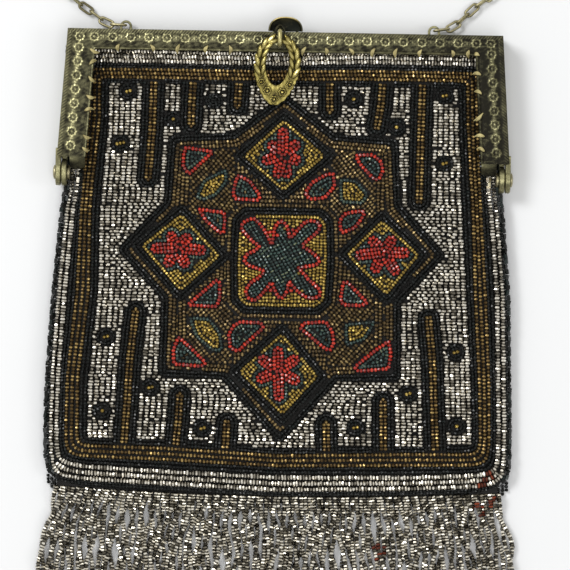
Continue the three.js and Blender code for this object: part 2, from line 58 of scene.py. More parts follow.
# The jaws, in millimetres as everything below: where the top edge lies up the Y axis, its half width,
# how far the arms splay over their length, the bar's and the arms' width, the front plate's height
# above the surface, and the thickness of the sheet.
TOP = 3.55
OUTER = 75.1
SPLAY = 3.0
ARM = 44.3
BAR = 7.1
ARM_WIDTH = 10.0
FRONT_FACE = 12.0
SHEET = 0.9
# The chain's ears: where they stand along the bar, half their width, the height of their half circle's
# middle up the Y axis, and their height above the surface.
EARS = (-55.4, 51.5)
EAR_HALF = 1.7
EAR_Y = TOP + 1.4
EAR_Z = 3.4


def outer_x(depth: Array | float) -> Array | float:
    """The frame's outer half width at a depth below its top edge."""
    return OUTER + SPLAY * depth / ARM


def unit(vectors: Array) -> Array:
    """The vectors scaled to length one."""
    return vectors / np.maximum(np.linalg.norm(vectors, axis=-1, keepdims=True), 1e-9)


def bump(distance: Array, width: float) -> Array:
    """A rounded hill: one at no distance and near nothing past its width."""
    return np.exp(-((distance / width) ** 2))


def below(value: Array, steep: float = 1.0) -> Array:
    """A soft step: near one where the value is below nothing, and near nothing above it."""
    return 1 / (1 + np.exp(value * steep))


def arc_lengths(points: Array) -> Array:
    """How far along a line each of its points lies."""
    steps = np.linalg.norm(np.diff(points, axis=0), axis=1)
    return np.concatenate([[0.0], np.cumsum(steps)])


def resample(points: Array, step: float) -> Array:
    """A line's points laid out again at one spacing.

    Args:
        points: The line's corners, one row each.
        step: The spacing wanted.

    Returns:
        Evenly spaced points from the line's start to its end.
    """
    along = arc_lengths(points)
    count = max(2, int(round(along[-1] / step)) + 1)
    at = np.linspace(0.0, along[-1], count)
    return np.stack([np.interp(at, along, column) for column in points.T], axis=1)


def rounded(points: Points, cut: float = 1.2) -> Array:
    """A closed polyline with a short bend at each corner.

    The bend is a parabola between the points that lie a cut's length before and after the corner.

    Args:
        points: Corners in order, without a repeat at the end.
        cut: How far from the corner the bend starts.

    Returns:
        The softened polyline, its first point repeated at the end.
    """
    line = np.asarray(points, float)
    back, on = np.roll(line, 1, axis=0) - line, np.roll(line, -1, axis=0) - line
    first, last = (
        line + unit(side) * np.minimum(cut, 0.45 * np.linalg.norm(side, axis=1, keepdims=True))
        for side in (back, on)
    )
    t = np.linspace(0, 1, 5)[None, :, None]
    bend = (1 - t) ** 2 * first[:, None] + 2 * t * (1 - t) * line[:, None] + t**2 * last[:, None]
    bend = bend.reshape(-1, 2)
    return np.concatenate([bend, bend[:1]])


def offset(points: Points, distance: float) -> Array:
    """A closed polyline moved outwards, each corner along the mean normal of its two sides.

    Args:
        points: Corners in order, without a repeat at the end.
        distance: How far out, or in when negative.

    Returns:
        The moved corners.
    """
    line = np.asarray(points, float)
    before = unit(line - np.roll(line, 1, axis=0))
    after = unit(np.roll(line, -1, axis=0) - line)
    turn = np.sign(np.sum(line[:, 0] * np.roll(line[:, 1], -1) - line[:, 1] * np.roll(line[:, 0], -1)))
    one, two = (np.stack([side[:, 1], -side[:, 0]], axis=1) * turn for side in (before, after))
    mean = unit(one + two)
    stretch = 1.0 / np.maximum(np.sum(mean * one, axis=1, keepdims=True), 0.55)
    return line + mean * stretch * distance


def quads(rows: int, columns: int, around: bool = True, along: bool = False) -> Whole:
    """The faces between the points of a grid.

    Args:
        rows: Its number of rows.
        columns: Points in each row.
        around: Whether each row closes on itself.
        along: Whether the last row joins the first.

    Returns:
        Four corners to a face, as places in the grid row by row.
    """
    index = np.arange(rows * columns).reshape(rows, columns)
    if around:
        index = np.concatenate([index, index[:, :1]], axis=1)
    if along:
        index = np.concatenate([index, index[:1]], axis=0)
    made = np.stack([index[:-1, :-1], index[:-1, 1:], index[1:, 1:], index[1:, :-1]], axis=-1)
    return made.reshape(-1, 4)


def edge_loop(surface: Array) -> Array:
    """The points round the edge of a grid of points, in order, each once."""
    return np.concatenate([surface[0, :-1], surface[:-1, -1], surface[-1, :0:-1], surface[:0:-1, 0]])


@dataclass
class Skin:
    """Points and faces gathered for one mesh, in millimetres, with one shade number to each point."""

    points: list[Array] = field(default_factory=list)
    shades: list[Array] = field(default_factory=list)
    corners: list[Whole] = field(default_factory=list)
    sizes: list[Whole] = field(default_factory=list)
    count: int = 0

    def add(self, points: Array, faces: Sequence[Whole], shade: Array | float = 0.5) -> None:
        """Adds points and the faces between them.

        Args:
            points: One row to a point.
            faces: Arrays of faces, each array with faces of one size.
            shade: One number for all the points, or one to each.
        """
        flat = np.asarray(points, float).reshape(-1, 3)
        for group in faces:
            self.corners.append((group + self.count).ravel())
            self.sizes.append(np.full(len(group), group.shape[1]))
        self.points.append(flat)
        self.shades.append(np.broadcast_to(np.asarray(shade, float).ravel(), (len(flat),)))
        self.count += len(flat)

    def grid(
        self,
        surface: Array,
        around: bool = False,
        along: bool = False,
        caps: bool = False,
        shade: Array | float = 0.5,
    ) -> None:
        """Adds a surface given as rows of points.

        Args:
            surface: Rows by columns by three.
            around: Whether each row closes on itself.
            along: Whether the last row joins the first.
            caps: Whether the first and last row are closed with a face.
            shade: One number, or one to each point.
        """
        rows, columns = surface.shape[:2]
        faces = [quads(rows, columns, around, along)]
        if caps:
            ring = np.arange(columns)
            faces += [ring[::-1][None], ((rows - 1) * columns + ring)[None]]
        self.add(surface, faces, shade)

    def solid(self, surface: Array, shade: Array | float = 0.5) -> None:
        """Adds a surface whose rows are rings, closed with a face at both ends."""
        self.grid(surface, around=True, caps=True, shade=shade)

    def hoop(self, surface: Array, shade: Array | float = 0.5) -> None:
        """Adds a surface whose rows are rings, the last joined to the first."""
        self.grid(surface, around=True, along=True, shade=shade)

    def make(self, name: str, look: Look, smooth: float = 35.0) -> bpy.types.Object:
        """Makes the object.

        Args:
            name: The object's name.
            look: Its material.
            smooth: Angle in degrees past which an edge stays sharp, or nothing for flat facets.

        Returns:
            The object, linked to the scene and at its origin.
        """
        mesh = bpy.data.meshes.new(name)
        corners = np.concatenate(self.corners)
        sizes = np.concatenate(self.sizes)
        mesh.vertices.add(self.count)
        mesh.vertices.foreach_set("co", (np.concatenate(self.points) * MM).astype(np.float32).ravel())
        mesh.loops.add(len(corners))
        mesh.loops.foreach_set("vertex_index", corners.astype(np.int32))
        mesh.polygons.add(len(sizes))
        starts = np.concatenate([[0], np.cumsum(sizes)[:-1]])
        mesh.polygons.foreach_set("loop_start", starts.astype(np.int32))
        mesh.polygons.foreach_set("use_smooth", np.full(len(sizes), smooth > 0))
        mesh.update(calc_edges=True)
        shade = mesh.attributes.new("shade", "FLOAT", "POINT")
        shade.data.foreach_set("value", np.concatenate(self.shades).astype(np.float32))
        if smooth > 0:
            mesh.set_sharp_from_angle(angle=np.radians(smooth))
        mesh.materials.append(look)
        made = bpy.data.objects.new(name, mesh)
        bpy.context.scene.collection.objects.link(made)
        log.info("%s: %d triangles", name, int(np.sum(sizes - 2)))
        return made


def box_surface(low: Sequence[float], high: Sequence[float], ease: float = 0.12) -> Array:
    """A block with eased edges as one closed stack of rounded rectangles.

    Each row is the block's outline at one height, drawn in by the ease at the foot and the head.

    Args:
        low: The lowest corner.
        high: The highest corner.
        ease: How far the edges are cut back.

    Returns:
        Rows by eight by three, to be closed with caps.
    """
    (x0, y0, z0), (x1, y1, z1) = low, high
    rows = []
    for z, inset in ((z0, ease), (z0 + ease, 0.0), (z1 - ease, 0.0), (z1, ease)):
        a, b, c, d = x0 + inset, x1 - inset, y0 + inset, y1 - inset
        ring = [(a + ease, c), (b - ease, c), (b, c + ease), (b, d - ease)]
        ring += [(b - ease, d), (a + ease, d), (a, d - ease), (a, c + ease)]
        rows.append([(x, y, z) for x, y in ring])
    return np.array(rows)


def tube_surface(path: Array, radius: Array | float, sides: int, up: Sequence[float] = (0, 0, 1)) -> Array:
    """A round bar along a path: a circle of the radius square to the path at each of its points.

    Args:
        path: The points of the centre line.
        radius: One radius, or one to each point.
        sides: Corners of the circle.
        up: A direction that the path never runs along.

    Returns:
        Path points by sides by three.
    """
    along = unit(np.gradient(path, axis=0))
    side = unit(np.cross(along, np.asarray(up, float)))
    over = np.cross(side, along)
    turn = np.linspace(0, 2 * pi, sides, endpoint=False)
    radii = np.broadcast_to(np.asarray(radius, float), (len(path),))[:, None, None]
    ring = side[:, None] * np.cos(turn)[None, :, None] - over[:, None] * np.sin(turn)[None, :, None]
    return path[:, None] + radii * ring


def turned_surface(profile: Array, sides: int) -> Array:
    """A turned piece: the profile's radius swept round the X axis at its place along that axis.

    Args:
        profile: Rows of place along X and radius, from low to high X.
        sides: Corners round the axis.

    Returns:
        Profile rows by sides by three.
    """
    turn = np.linspace(0, 2 * pi, sides, endpoint=False)
    place, radius = profile[:, :1], profile[:, 1:2]
    return np.stack([place + 0 * turn, radius * np.cos(turn), radius * np.sin(turn)], axis=-1)


def stadium(length: float, width: float, wire: float, around: int) -> Array:
    """The centre line of a wire link: two half circles joined by straight sides, along X.

    Args:
        length: Outer length.
        width: Outer width.
        wire: Wire thickness.
        around: Number of points.

    Returns:
        Points in the XY plane.
    """
    radius = (width - wire) / 2
    turn = (np.arange(around) + 0.5) * 2 * pi / around
    shift = np.sign(np.cos(turn)) * (length - width) / 2
    return np.stack([radius * np.cos(turn) + shift, radius * np.sin(turn), 0 * turn], axis=1)


def closed_wire(line: Array, wire: float, sides: int) -> Array:
    """A ring of wire about a closed flat line in the XY plane.

    Args:
        line: Points of the centre line, the last joining the first.
        wire: Wire thickness.
        sides: Corners of the wire's section.

    Returns:
        Points by sides by three.
    """
    along = unit(np.roll(line, -1, axis=0) - np.roll(line, 1, axis=0))
    side = np.stack([along[:, 1], -along[:, 0], 0 * along[:, 0]], axis=1)
    turn = np.linspace(0, 2 * pi, sides, endpoint=False)
    up = np.array([0.0, 0.0, 1.0])
    ring = side[:, None] * np.cos(turn)[None, :, None] - up * np.sin(turn)[None, :, None]
    return line[:, None] + wire / 2 * ring


@dataclass(frozen=True)
class Term:
    """One socket of a material's nodes, used in sums as a number is."""

    bench: "Bench"
    socket: bpy.types.NodeSocket

    def _with(self, operation: str, first: "Term | float", second: "Term | float") -> "Term":
        """The result of one Math node on two values."""
        return self.bench.node("ShaderNodeMath", {"operation": operation}, {0: first, 1: second})

    def __add__(self, other: "Term | float") -> "Term":
        """This value plus another."""
        return self._with("ADD", self, other)

    def __radd__(self, other: float) -> "Term":
        """Another value plus this one."""
        return self._with("ADD", other, self)

    def __sub__(self, other: "Term | float") -> "Term":
        """This value less another."""
        return self._with("SUBTRACT", self, other)

    def __rsub__(self, other: float) -> "Term":
        """Another value less this one."""
        return self._with("SUBTRACT", other, self)

    def __mul__(self, other: "Term | float") -> "Term":
        """This value times another."""
        return self._with("MULTIPLY", self, other)

    def __rmul__(self, other: float) -> "Term":
        """Another value times this one."""
        return self._with("MULTIPLY", other, self)

    def clear(self) -> "Term":
        """This value held between nothing and one."""
        return self.bench.node("ShaderNodeClamp", {}, {0: self})


@dataclass
class Bench:
    """The nodes of one material."""

    tree: bpy.types.NodeTree

    def node(
        self,
        kind: str,
        settings: Mapping[str, object],
        inputs: Mapping[int | str, object],
        out: int | str = 0,
    ) -> Term:
        """Adds a node.

        Args:
            kind: The node's type.
            settings: Its own settings, set before its sockets. A ramp's stops are given as "stops".
            inputs: Values or terms by socket.
            out: Which of its outputs is wanted.

        Returns:
            That output.
        """
        made = self.tree.nodes.new(kind)
        for name, value in settings.items():
            if name == "stops":
                self._stops(made, value)
            else:
                setattr(made, name, value)
        for name, value in inputs.items():
            if isinstance(value, Term):
                self.tree.links.new(value.socket, made.inputs[name])
            else:
                made.inputs[name].default_value = value
        return Term(self, made.outputs[out])

    @staticmethod
    def _stops(made: bpy.types.Node, stops: Stops) -> None:
        """Sets a colour ramp's stops, given as place and colour.

        Args:
            made: The ramp's node.
            stops: The stops.
        """
        ramp = made.color_ramp
        while len(ramp.elements) < len(stops):
            ramp.elements.new(0.5)
        for element, (place, colour) in zip(ramp.elements, stops):
            element.position = place
            element.color = (*colour, 1)

    def ramp(self, value: Term, stops: Stops) -> Term:
        """A colour picked by a value."""
        return self.node("ShaderNodeValToRGB", {"stops": stops}, {0: value})

    def number(self, value: Term, low: float, high: float) -> Term:
        """A value from nothing to one carried to a range."""
        return self.node("ShaderNodeMapRange", {}, {0: value, 3: low, 4: high})

    def place(self) -> Term:
        """A point's place on the piece."""
        return self.node("ShaderNodeTexCoord", {}, {}, "Object")

    def noise(self, scale: float, detail: float = 2.0, rough: float = 0.5) -> Term:
        """Cloudy variation.

        Args:
            scale: Cycles to the metre.
            detail: How many finer layers it has.
            rough: How much each of them weighs.

        Returns:
            A value from nothing to one.
        """
        inputs = {"Vector": self.place(), "Scale": scale, "Detail": detail, "Roughness": rough}
        return self.node("ShaderNodeTexNoise", {}, inputs)

    def shade(self) -> Term:
        """The piece's own shade number."""
        return self.node("ShaderNodeAttribute", {"attribute_name": "shade"}, {}, "Fac")

    def mix(self, factor: Term | float, first: Term | Colour, second: Term | Colour) -> Term:
        """Two colours mixed.

        Args:
            factor: How much of the second.
            first: The first colour.
            second: The second colour.

        Returns:
            The mixed colour.
        """
        one, two = ((*c, 1.0) if isinstance(c, tuple) else c for c in (first, second))
        return self.node("ShaderNodeMix", {"data_type": "RGBA"}, {0: factor, 6: one, 7: two}, 2)

    def bumped(self, height: Term, strength: float, distance: float) -> Term:
        """A surface normal roughened by a height."""
        inputs = {"Height": height, "Strength": strength, "Distance": distance}
        return self.node("ShaderNodeBump", {}, inputs)


def material(name: str) -> tuple[Look, Bench, bpy.types.Node]:
    """A new material.

    Args:
        name: Its name.

    Returns:
        The material, its bench and its surface shader.
    """
    look = bpy.data.materials.new(name)
    look.use_nodes = True
    return look, Bench(look.node_tree), look.node_tree.nodes["Principled BSDF"]


def dress(bench: Bench, shader: bpy.types.Node, **sockets: object) -> None:
    """Sets or links a shader's sockets.

    Args:
        bench: The bench that it stands on.
        shader: The shader.
        sockets: Values or terms by the socket's name, with _ for a space.
    """
    for name, value in sockets.items():
        socket = shader.inputs[name.replace("_", " ")]
        if isinstance(value, Term):
            bench.tree.links.new(value.socket, socket)
        else:
            socket.default_value = value


@dataclass(frozen=True)
class BeadGlass:
    """A seed bead's glass: a run of colours from bead to bead, metal or glossy."""

    name: str
    stops: Stops
    metallic: float = 0.0
    rough: tuple[float, float] = (0.15, 0.4)
    shine: float = 0.5

    def look(self) -> Look:
        """The look: colour and gloss follow the shade number, which varies from bead to bead and carries
        each bead's painted end shade, with fine dirt over both.

        Returns:
            The material.
        """
        look, bench, shader = material(self.name)
        own = bench.shade()
        dirt = bench.noise(900.0, 3.0, 0.6)
        grime = (dirt * 1.6 - 0.6).clear() * 0.45
        colour = bench.mix(grime, bench.ramp(own, self.stops), (0.01, 0.009, 0.007))
        rough = bench.number(((1 - own) * 0.6 + dirt * 0.5).clear(), *self.rough)
        dress(bench, shader, Base_Color=colour, Roughness=rough, Metallic=self.metallic)
        dress(bench, shader, Specular_IOR_Level=self.shine, Normal=bench.bumped(dirt, 0.25, 0.0002))
        return look


@dataclass(frozen=True)
class OldBrass:
    """Brass with a patina: dark where the shade number is low, bright where it is high. The number
    carries patina and wear, and on some pieces painted highlights and painted shade too.
    """

    name: str
    dark: Colour
    mid: Colour
    bright: Colour
    rough: tuple[float, float] = (0.28, 0.55)
    grain: float = 0.35

    def look(self) -> Look:
        """The look: patina, wear and painted light follow the shade number, broken up by cloudy noise and
        fine scratches.

        Returns:
            The material.
        """
        look, bench, shader = material(self.name)
        cloud = bench.noise(260.0, 4.0, 0.62)
        fine = bench.noise(2400.0, 3.0, 0.6)
        patina_wear_and_painted_light = (bench.shade() + (cloud - 0.5) * 0.7 + (fine - 0.5) * 0.5).clear()
        colour = bench.ramp(patina_wear_and_painted_light, ((0.05, self.dark), (0.5, self.mid), (0.95, self.bright)))
        rough = bench.number((1 - patina_wear_and_painted_light) * 0.7 + fine * 0.3, *self.rough)
        dress(bench, shader, Base_Color=colour, Roughness=rough, Metallic=0.88)
        dress(bench, shader, Normal=bench.bumped(fine + cloud * 0.5, self.grain, 0.0002))
        return look


@dataclass(frozen=True)
class Cloth:
    """The dark cloth that the beads are sewn to: a plain weave."""

    name: str
    dark: Colour = (0.003, 0.003, 0.003)
    light: Colour = (0.014, 0.013, 0.012)
    threads: float = 9000.0

    def look(self) -> Look:
        """The look: two crossing sets of threads as sine waves of the place, in colour and bump.

        Returns:
            The material.
        """
        look, bench, shader = material(self.name)
        apart = bench.tree.nodes.new("ShaderNodeSeparateXYZ")
        bench.tree.links.new(bench.place().socket, apart.inputs[0])
        turns = [Term(bench, apart.outputs[axis]) * self.threads for axis in (0, 1)]
        across, down = (bench.node("ShaderNodeMath", {"operation": "SINE"}, {0: turn}) for turn in turns)
        weave = (across * down * 0.5 + 0.5) * 0.7 + bench.noise(700.0, 3.0) * 0.3
        colour = bench.ramp(weave, ((0.2, self.dark), (0.8, self.light)))
        dress(bench, shader, Base_Color=colour, Roughness=bench.number(weave, 0.95, 0.75))
        dress(bench, shader, Specular_IOR_Level=0.2, Normal=bench.bumped(weave, 0.5, 0.0003))
        return look


@dataclass(frozen=True)
class Thread:
    """Sewing silk: pale gold strands with a soft gloss."""

    name: str
    dark: Colour
    light: Colour

    def look(self) -> Look:
        """The look: strands from fine noise, soiled in places.

        Returns:
            The material.
        """
        look, bench, shader = material(self.name)
        fine = bench.noise(3200.0, 3.0, 0.7)
        soil = bench.noise(350.0, 2.0)
        colour = bench.ramp((fine * 0.6 + soil * 0.6 - 0.1).clear(), ((0.25, self.dark), (0.75, self.light)))
        dress(bench, shader, Base_Color=colour, Roughness=bench.number(fine, 0.5, 0.8))
        dress(bench, shader, Normal=bench.bumped(fine, 0.6, 0.0002))
        return look


class Bead(Enum):
    """The kinds of bead: diameter, length along the string, how far its middle bulges, and its glass."""

    SILVER = (1.9, 1.06, 0.74)
    BLACK = (1.36, 1.2, 0.62)
    BRONZE = (1.4, 1.26, 0.6)
    GROUND = (1.42, 1.24, 0.6)
    GOLD = (1.26, 1.1, 0.6)
    RED = (1.42, 1.26, 0.6)
    TEAL = (1.3, 1.16, 0.6)
    RUST = (1.86, 1.05, 0.74)

    @property
    def radius(self) -> float:
        """Half the bead's diameter."""
        return self.value[0] / 2

    @property
    def length(self) -> float:
        """The bead's room along its string."""
        return self.value[1]

    @property
    def neck(self) -> float:
        """The share of its radius that is left at its ends."""
        return self.value[2]


STEEL: Stops = (
    (0.0, (0.01, 0.009, 0.007)),
    (0.25, (0.19, 0.173, 0.14)),
    (0.52, (0.85, 0.8, 0.69)),
    (1.0, (1.0, 0.98, 0.91)),
)
FRINGE: Stops = (
    (0.0, (0.006, 0.005, 0.004)),
    (0.3, (0.16, 0.145, 0.112)),
    (0.58, (0.84, 0.79, 0.67)),
    (1.0, (1.0, 0.98, 0.9)),
)
# The top stop, reached in the middle of the brightest beads, is a painted blue-grey sheen.
JET: Stops = ((0.0, (0.001, 0.001, 0.0008)), (0.7, (0.0035, 0.0046, 0.0043)), (1.0, (0.012, 0.018, 0.017)))
BRONZE: Stops = (
    (0.0, (0.006, 0.004, 0.002)),
    (0.4, (0.11, 0.068, 0.022)),
    (0.75, (0.36, 0.245, 0.085)),
    (1.0, (0.82, 0.6, 0.23)),
)
TAN: Stops = (
    (0.0, (0.006, 0.004, 0.002)),
    (0.45, (0.1, 0.066, 0.026)),
    (0.8, (0.27, 0.19, 0.075)),
    (1.0, (0.6, 0.46, 0.2)),
)
GOLD: Stops = (
    (0.0, (0.05, 0.035, 0.006)),
    (0.4, (0.27, 0.18, 0.036)),
    (0.75, (0.56, 0.4, 0.085)),
    (1.0, (0.9, 0.7, 0.24)),
)
RED: Stops = ((0.0, (0.03, 0.002, 0.001)), (0.5, (0.3, 0.012, 0.005)), (1.0, (0.62, 0.05, 0.018)))
TEAL: Stops = (
    (0.0, (0.004, 0.006, 0.005)),
    (0.45, (0.016, 0.034, 0.03)),
    (0.72, (0.04, 0.08, 0.07)),
    (0.86, (0.1, 0.11, 0.05)),
    (1.0, (0.34, 0.33, 0.16)),
)
RUST: Stops = ((0.0, (0.01, 0.004, 0.002)), (0.6, (0.13, 0.026, 0.011)), (1.0, (0.3, 0.065, 0.028)))

GLASS: dict[Bead, BeadGlass] = {
    Bead.SILVER: BeadGlass("silver_bead_steel", STEEL, 1.0, (0.16, 0.42)),
    Bead.BLACK: BeadGlass("black_bead_glass", JET, 0.0, (0.12, 0.4), 0.22),
    Bead.BRONZE: BeadGlass("bronze_bead_glass", BRONZE, 0.8, (0.22, 0.45)),
    Bead.GROUND: BeadGlass("tan_bead_glass", TAN, 0.7, (0.22, 0.45)),
    Bead.GOLD: BeadGlass("gold_bead_glass", GOLD, 0.7, (0.22, 0.45)),
    Bead.RED: BeadGlass("red_bead_glass", RED, 0.0, (0.14, 0.35)),
    Bead.TEAL: BeadGlass("teal_bead_glass", TEAL, 0.25, (0.14, 0.4)),
    Bead.RUST: BeadGlass("rusty_bead_steel", RUST, 0.0, (0.4, 0.7), 0.15),
}
FRINGE_STEEL = BeadGlass("fringe_bead_steel", FRINGE, 1.0, (0.16, 0.42))


@dataclass
class Beads:
    """A batch of beads of one kind: each one's centre, its string's direction and its length."""

    kind: Bead
    seed: int
    sides: int = 6
    rings: int = 3
    darkest: float = 0.25
    painted_end_shade: float = 0.78
    tilt: float = 0.07
    centres: list[Array] = field(default_factory=list)
    along: list[Array] = field(default_factory=list)
    lengths: list[Array] = field(default_factory=list)

    def add(self, centres: Array, along: Array, lengths: Array) -> None:
        """Adds beads by centre, string direction and length.

        Args:
            centres: The beads' middles.
            along: Their strings' directions.
            lengths: Their lengths.
        """
        self.centres.append(centres)
        self.along.append(along)
        self.lengths.append(lengths)

    def skin(self, skin: Skin) -> Skin:
        """Adds every bead to a skin.

        A bead is a faceted barrel: rings of corners square to its string, full in the middle and
        drawn in at both ends, turned by chance round the string and tilted a little off it. Its ends
        are darkened with painted shade where it meets its neighbours, leaving a painted highlight band
        along its middle.

        Args:
            skin: The skin to add to.

        Returns:
            The same skin.
        """
        chance = np.random.default_rng(self.seed)
        centre = np.concatenate(self.centres)
        count = len(centre)
        along = unit(np.concatenate(self.along) + chance.normal(0, self.tilt, (count, 3)))
        over = unit(np.cross(along, chance.normal(0, 1, (count, 3)) + 1e-3))
        side = np.cross(along, over)
        radius = self.kind.radius * chance.normal(1, 0.05, count).clip(0.86, 1.12)
        length = np.concatenate(self.lengths) * chance.normal(0.88, 0.04, count).clip(0.76, 0.98)
        place = np.linspace(-0.5, 0.5, self.rings)
        bulge = self.kind.neck + (1 - self.kind.neck) * (1 - (2 * place) ** 2)
        if self.rings == 2:
            bulge = np.full(2, 0.93)
        turn = np.arange(self.sides) * 2 * pi / self.sides
        ring = over[:, None] * np.cos(turn)[:, None] + side[:, None] * np.sin(turn)[:, None]
        points = (
            centre[:, None, None]
            + along[:, None, None] * (length[:, None] * place)[:, :, None, None]
            + ring[:, None] * (radius[:, None] * bulge)[:, :, None, None]
        )
        corners = np.arange(self.sides)
        per = self.rings * self.sides
        ends = np.stack([corners[::-1], per - self.sides + corners])
        start = (np.arange(count) * per)[:, None, None]
        walls = quads(self.rings, self.sides)
        faces = [(start + walls).reshape(-1, 4), (start + ends).reshape(-1, self.sides)]
        # Painted shade: the shade number falls towards both ends of each bead, darkening the gaps between
        # neighbours and leaving a painted highlight band along the middle.
        dim = 1 - self.painted_end_shade * (2 * place) ** 2 if self.rings > 2 else np.ones(2)
        own = chance.uniform(self.darkest, 1, count)[:, None, None]
        skin.add(points, faces, own * np.repeat(dim, self.sides).reshape(1, self.rings, -1))
        return skin


@dataclass(frozen=True)
class BagShape:
    """The soft bag's outer face: half width, front, back and sag at each height, as in the solid.

    Inside the jaws it keeps an inset from their outer edge and lies as high as the mouth. Below them
    each row of free holds the share of the way down, then shares of the half width, the thickness,
    the back and the sag. The first row is no wider than the neck.
    """

    end: float = 158.0
    half: float = 81.0
    thick: float = 12.3
    back: float = 1.2
    seam: float = 0.32
    inset: float = 3.1
    mouth: float = 10.8
    neck: float = 72.4
    sag: float = 2.6
    free: tuple[tuple[float, float, float, float, float], ...] = (
        (0.01, 0.87, 0.87, 0.9, 0.0),
        (0.08, 0.878, 0.9, 0.45, 0.0),
        (0.145, 0.937, 0.94, 0.0, 0.0),
        (0.26, 0.957, 0.97, 0.0, 0.0),
        (0.43, 0.975, 0.93, 0.0, 0.1),
        (0.63, 0.992, 0.97, 0.0, 0.3),
        (0.8, 1.0, 0.88, 0.0, 0.6),
        (0.92, 0.992, 0.74, 0.0, 0.9),
        (0.975, 0.972, 0.6, 0.0, 1.0),
        (1.0, 0.952, 0.44, 0.0, 1.0),
    )

    def rows(self) -> Array:
        """The rows of the shape.

        Returns:
            Depth, half width, front, back and sag of each row, in millimetres.
        """
        depth = np.array([1.5, 20.0, 36.3])
        rest = np.broadcast_to((self.mouth, self.back, 0.0), (len(depth), 3))
        inside = np.column_stack([depth, outer_x(depth) - self.inset, rest])
        share, width, front, back, sag = np.array(self.free).T
        width = np.minimum(width * self.half, np.where(share < 0.1, self.neck, self.half))
        depth = ARM + share * (self.end - ARM)
        body = np.stack([depth, width, front * self.thick, back * self.back, sag * self.sag], axis=1)
        return np.concatenate([inside, body])

    def at(self, depth: Array) -> tuple[Array, Array, Array, Array]:
        """The shape at some depths.

        Between the rows it runs straight, and is then smoothed with a bell curve of two millimetres.

        Args:
            depth: Places below the frame's top edge.

        Returns:
            Half width, front, back and sag at each.
        """
        rows = self.rows()
        fine = np.arange(-10.0, self.end + 14.0, 0.5)
        reach, spread = 10, 4.0
        ease = np.exp(-0.5 * (np.arange(-reach, reach + 1) / spread) ** 2)
        ease /= ease.sum()
        found = []
        for column in rows[:, 1:].T:
            line = np.interp(fine, rows[:, 0], column)
            line = np.convolve(np.pad(line, reach, mode="edge"), ease, mode="valid")
            found.append(np.interp(depth, fine, line))
        return tuple(found)

    def share(self, x: Array, depth: Array) -> tuple[Array, Array]:
        """Where points lie on the shape's rows, the sag taken off.

        Args:
            x: Places across.
            depth: Places below the frame's top edge.

        Returns:
            Shares of the half width, and the depths of their rows.
        """
        row = np.array(depth, float)
        share = np.zeros_like(row)
        for _ in range(4):
            width, _, _, sag = self.at(row)
            share = np.clip(x / width, -1, 1)
            row = depth - sag * (1 - share**2)
        return share, row

    def face(self, x: Array, depth: Array, front: bool = True) -> Array:
        """The height of the front or back face.

        Args:
            x: Places across.
            depth: Places below the frame's top edge.
            front: Whether the front is wanted.

        Returns:
            Heights above the surface it lies on. Across, the front falls from its middle height to the
            seam as the root of one less the fourth power of the share of the half width, and the back
            with the eighth power.
        """
        share, row = self.share(x, depth)
        _, crest, back, _ = self.at(row)
        seam = np.clip(crest * self.seam, back, crest)
        level, power = (crest, 4) if front else (back, 8)
        pucker = 0.16 * np.sin(x * 0.23 + depth * 0.11) * np.sin(depth * 0.19 - x * 0.07)
        return seam + (level - seam) * np.sqrt(np.maximum(0, 1 - np.abs(share) ** power)) + pucker * front

    def upright(self, x: Array, depth: Array, front: bool = True) -> tuple[Array, Array]:
        """The face's points and outward normals.

        Args:
            x: Places across.
            depth: Places below the frame's top edge.
            front: Whether the front is wanted.

        Returns:
            Points and normals, one row each.
        """
        step = 0.4
        high = self.face(x, depth, front)
        run = (self.face(x + step, depth, front) - self.face(x - step, depth, front)) / (2 * step)
        fall = (self.face(x, depth + step, front) - self.face(x, depth - step, front)) / (2 * step)
        normal = unit(np.stack([-run, fall, np.ones_like(run)], axis=1)) * (1 if front else -1)
        return np.stack([x, TOP - depth, high], axis=1), normal


# The chart's raster: millimetres to a cell, cells each way, and where its columns and rows start.
CELL = 0.2
CELLS = 860
LEFT, HEAD = -86.0, -4.0


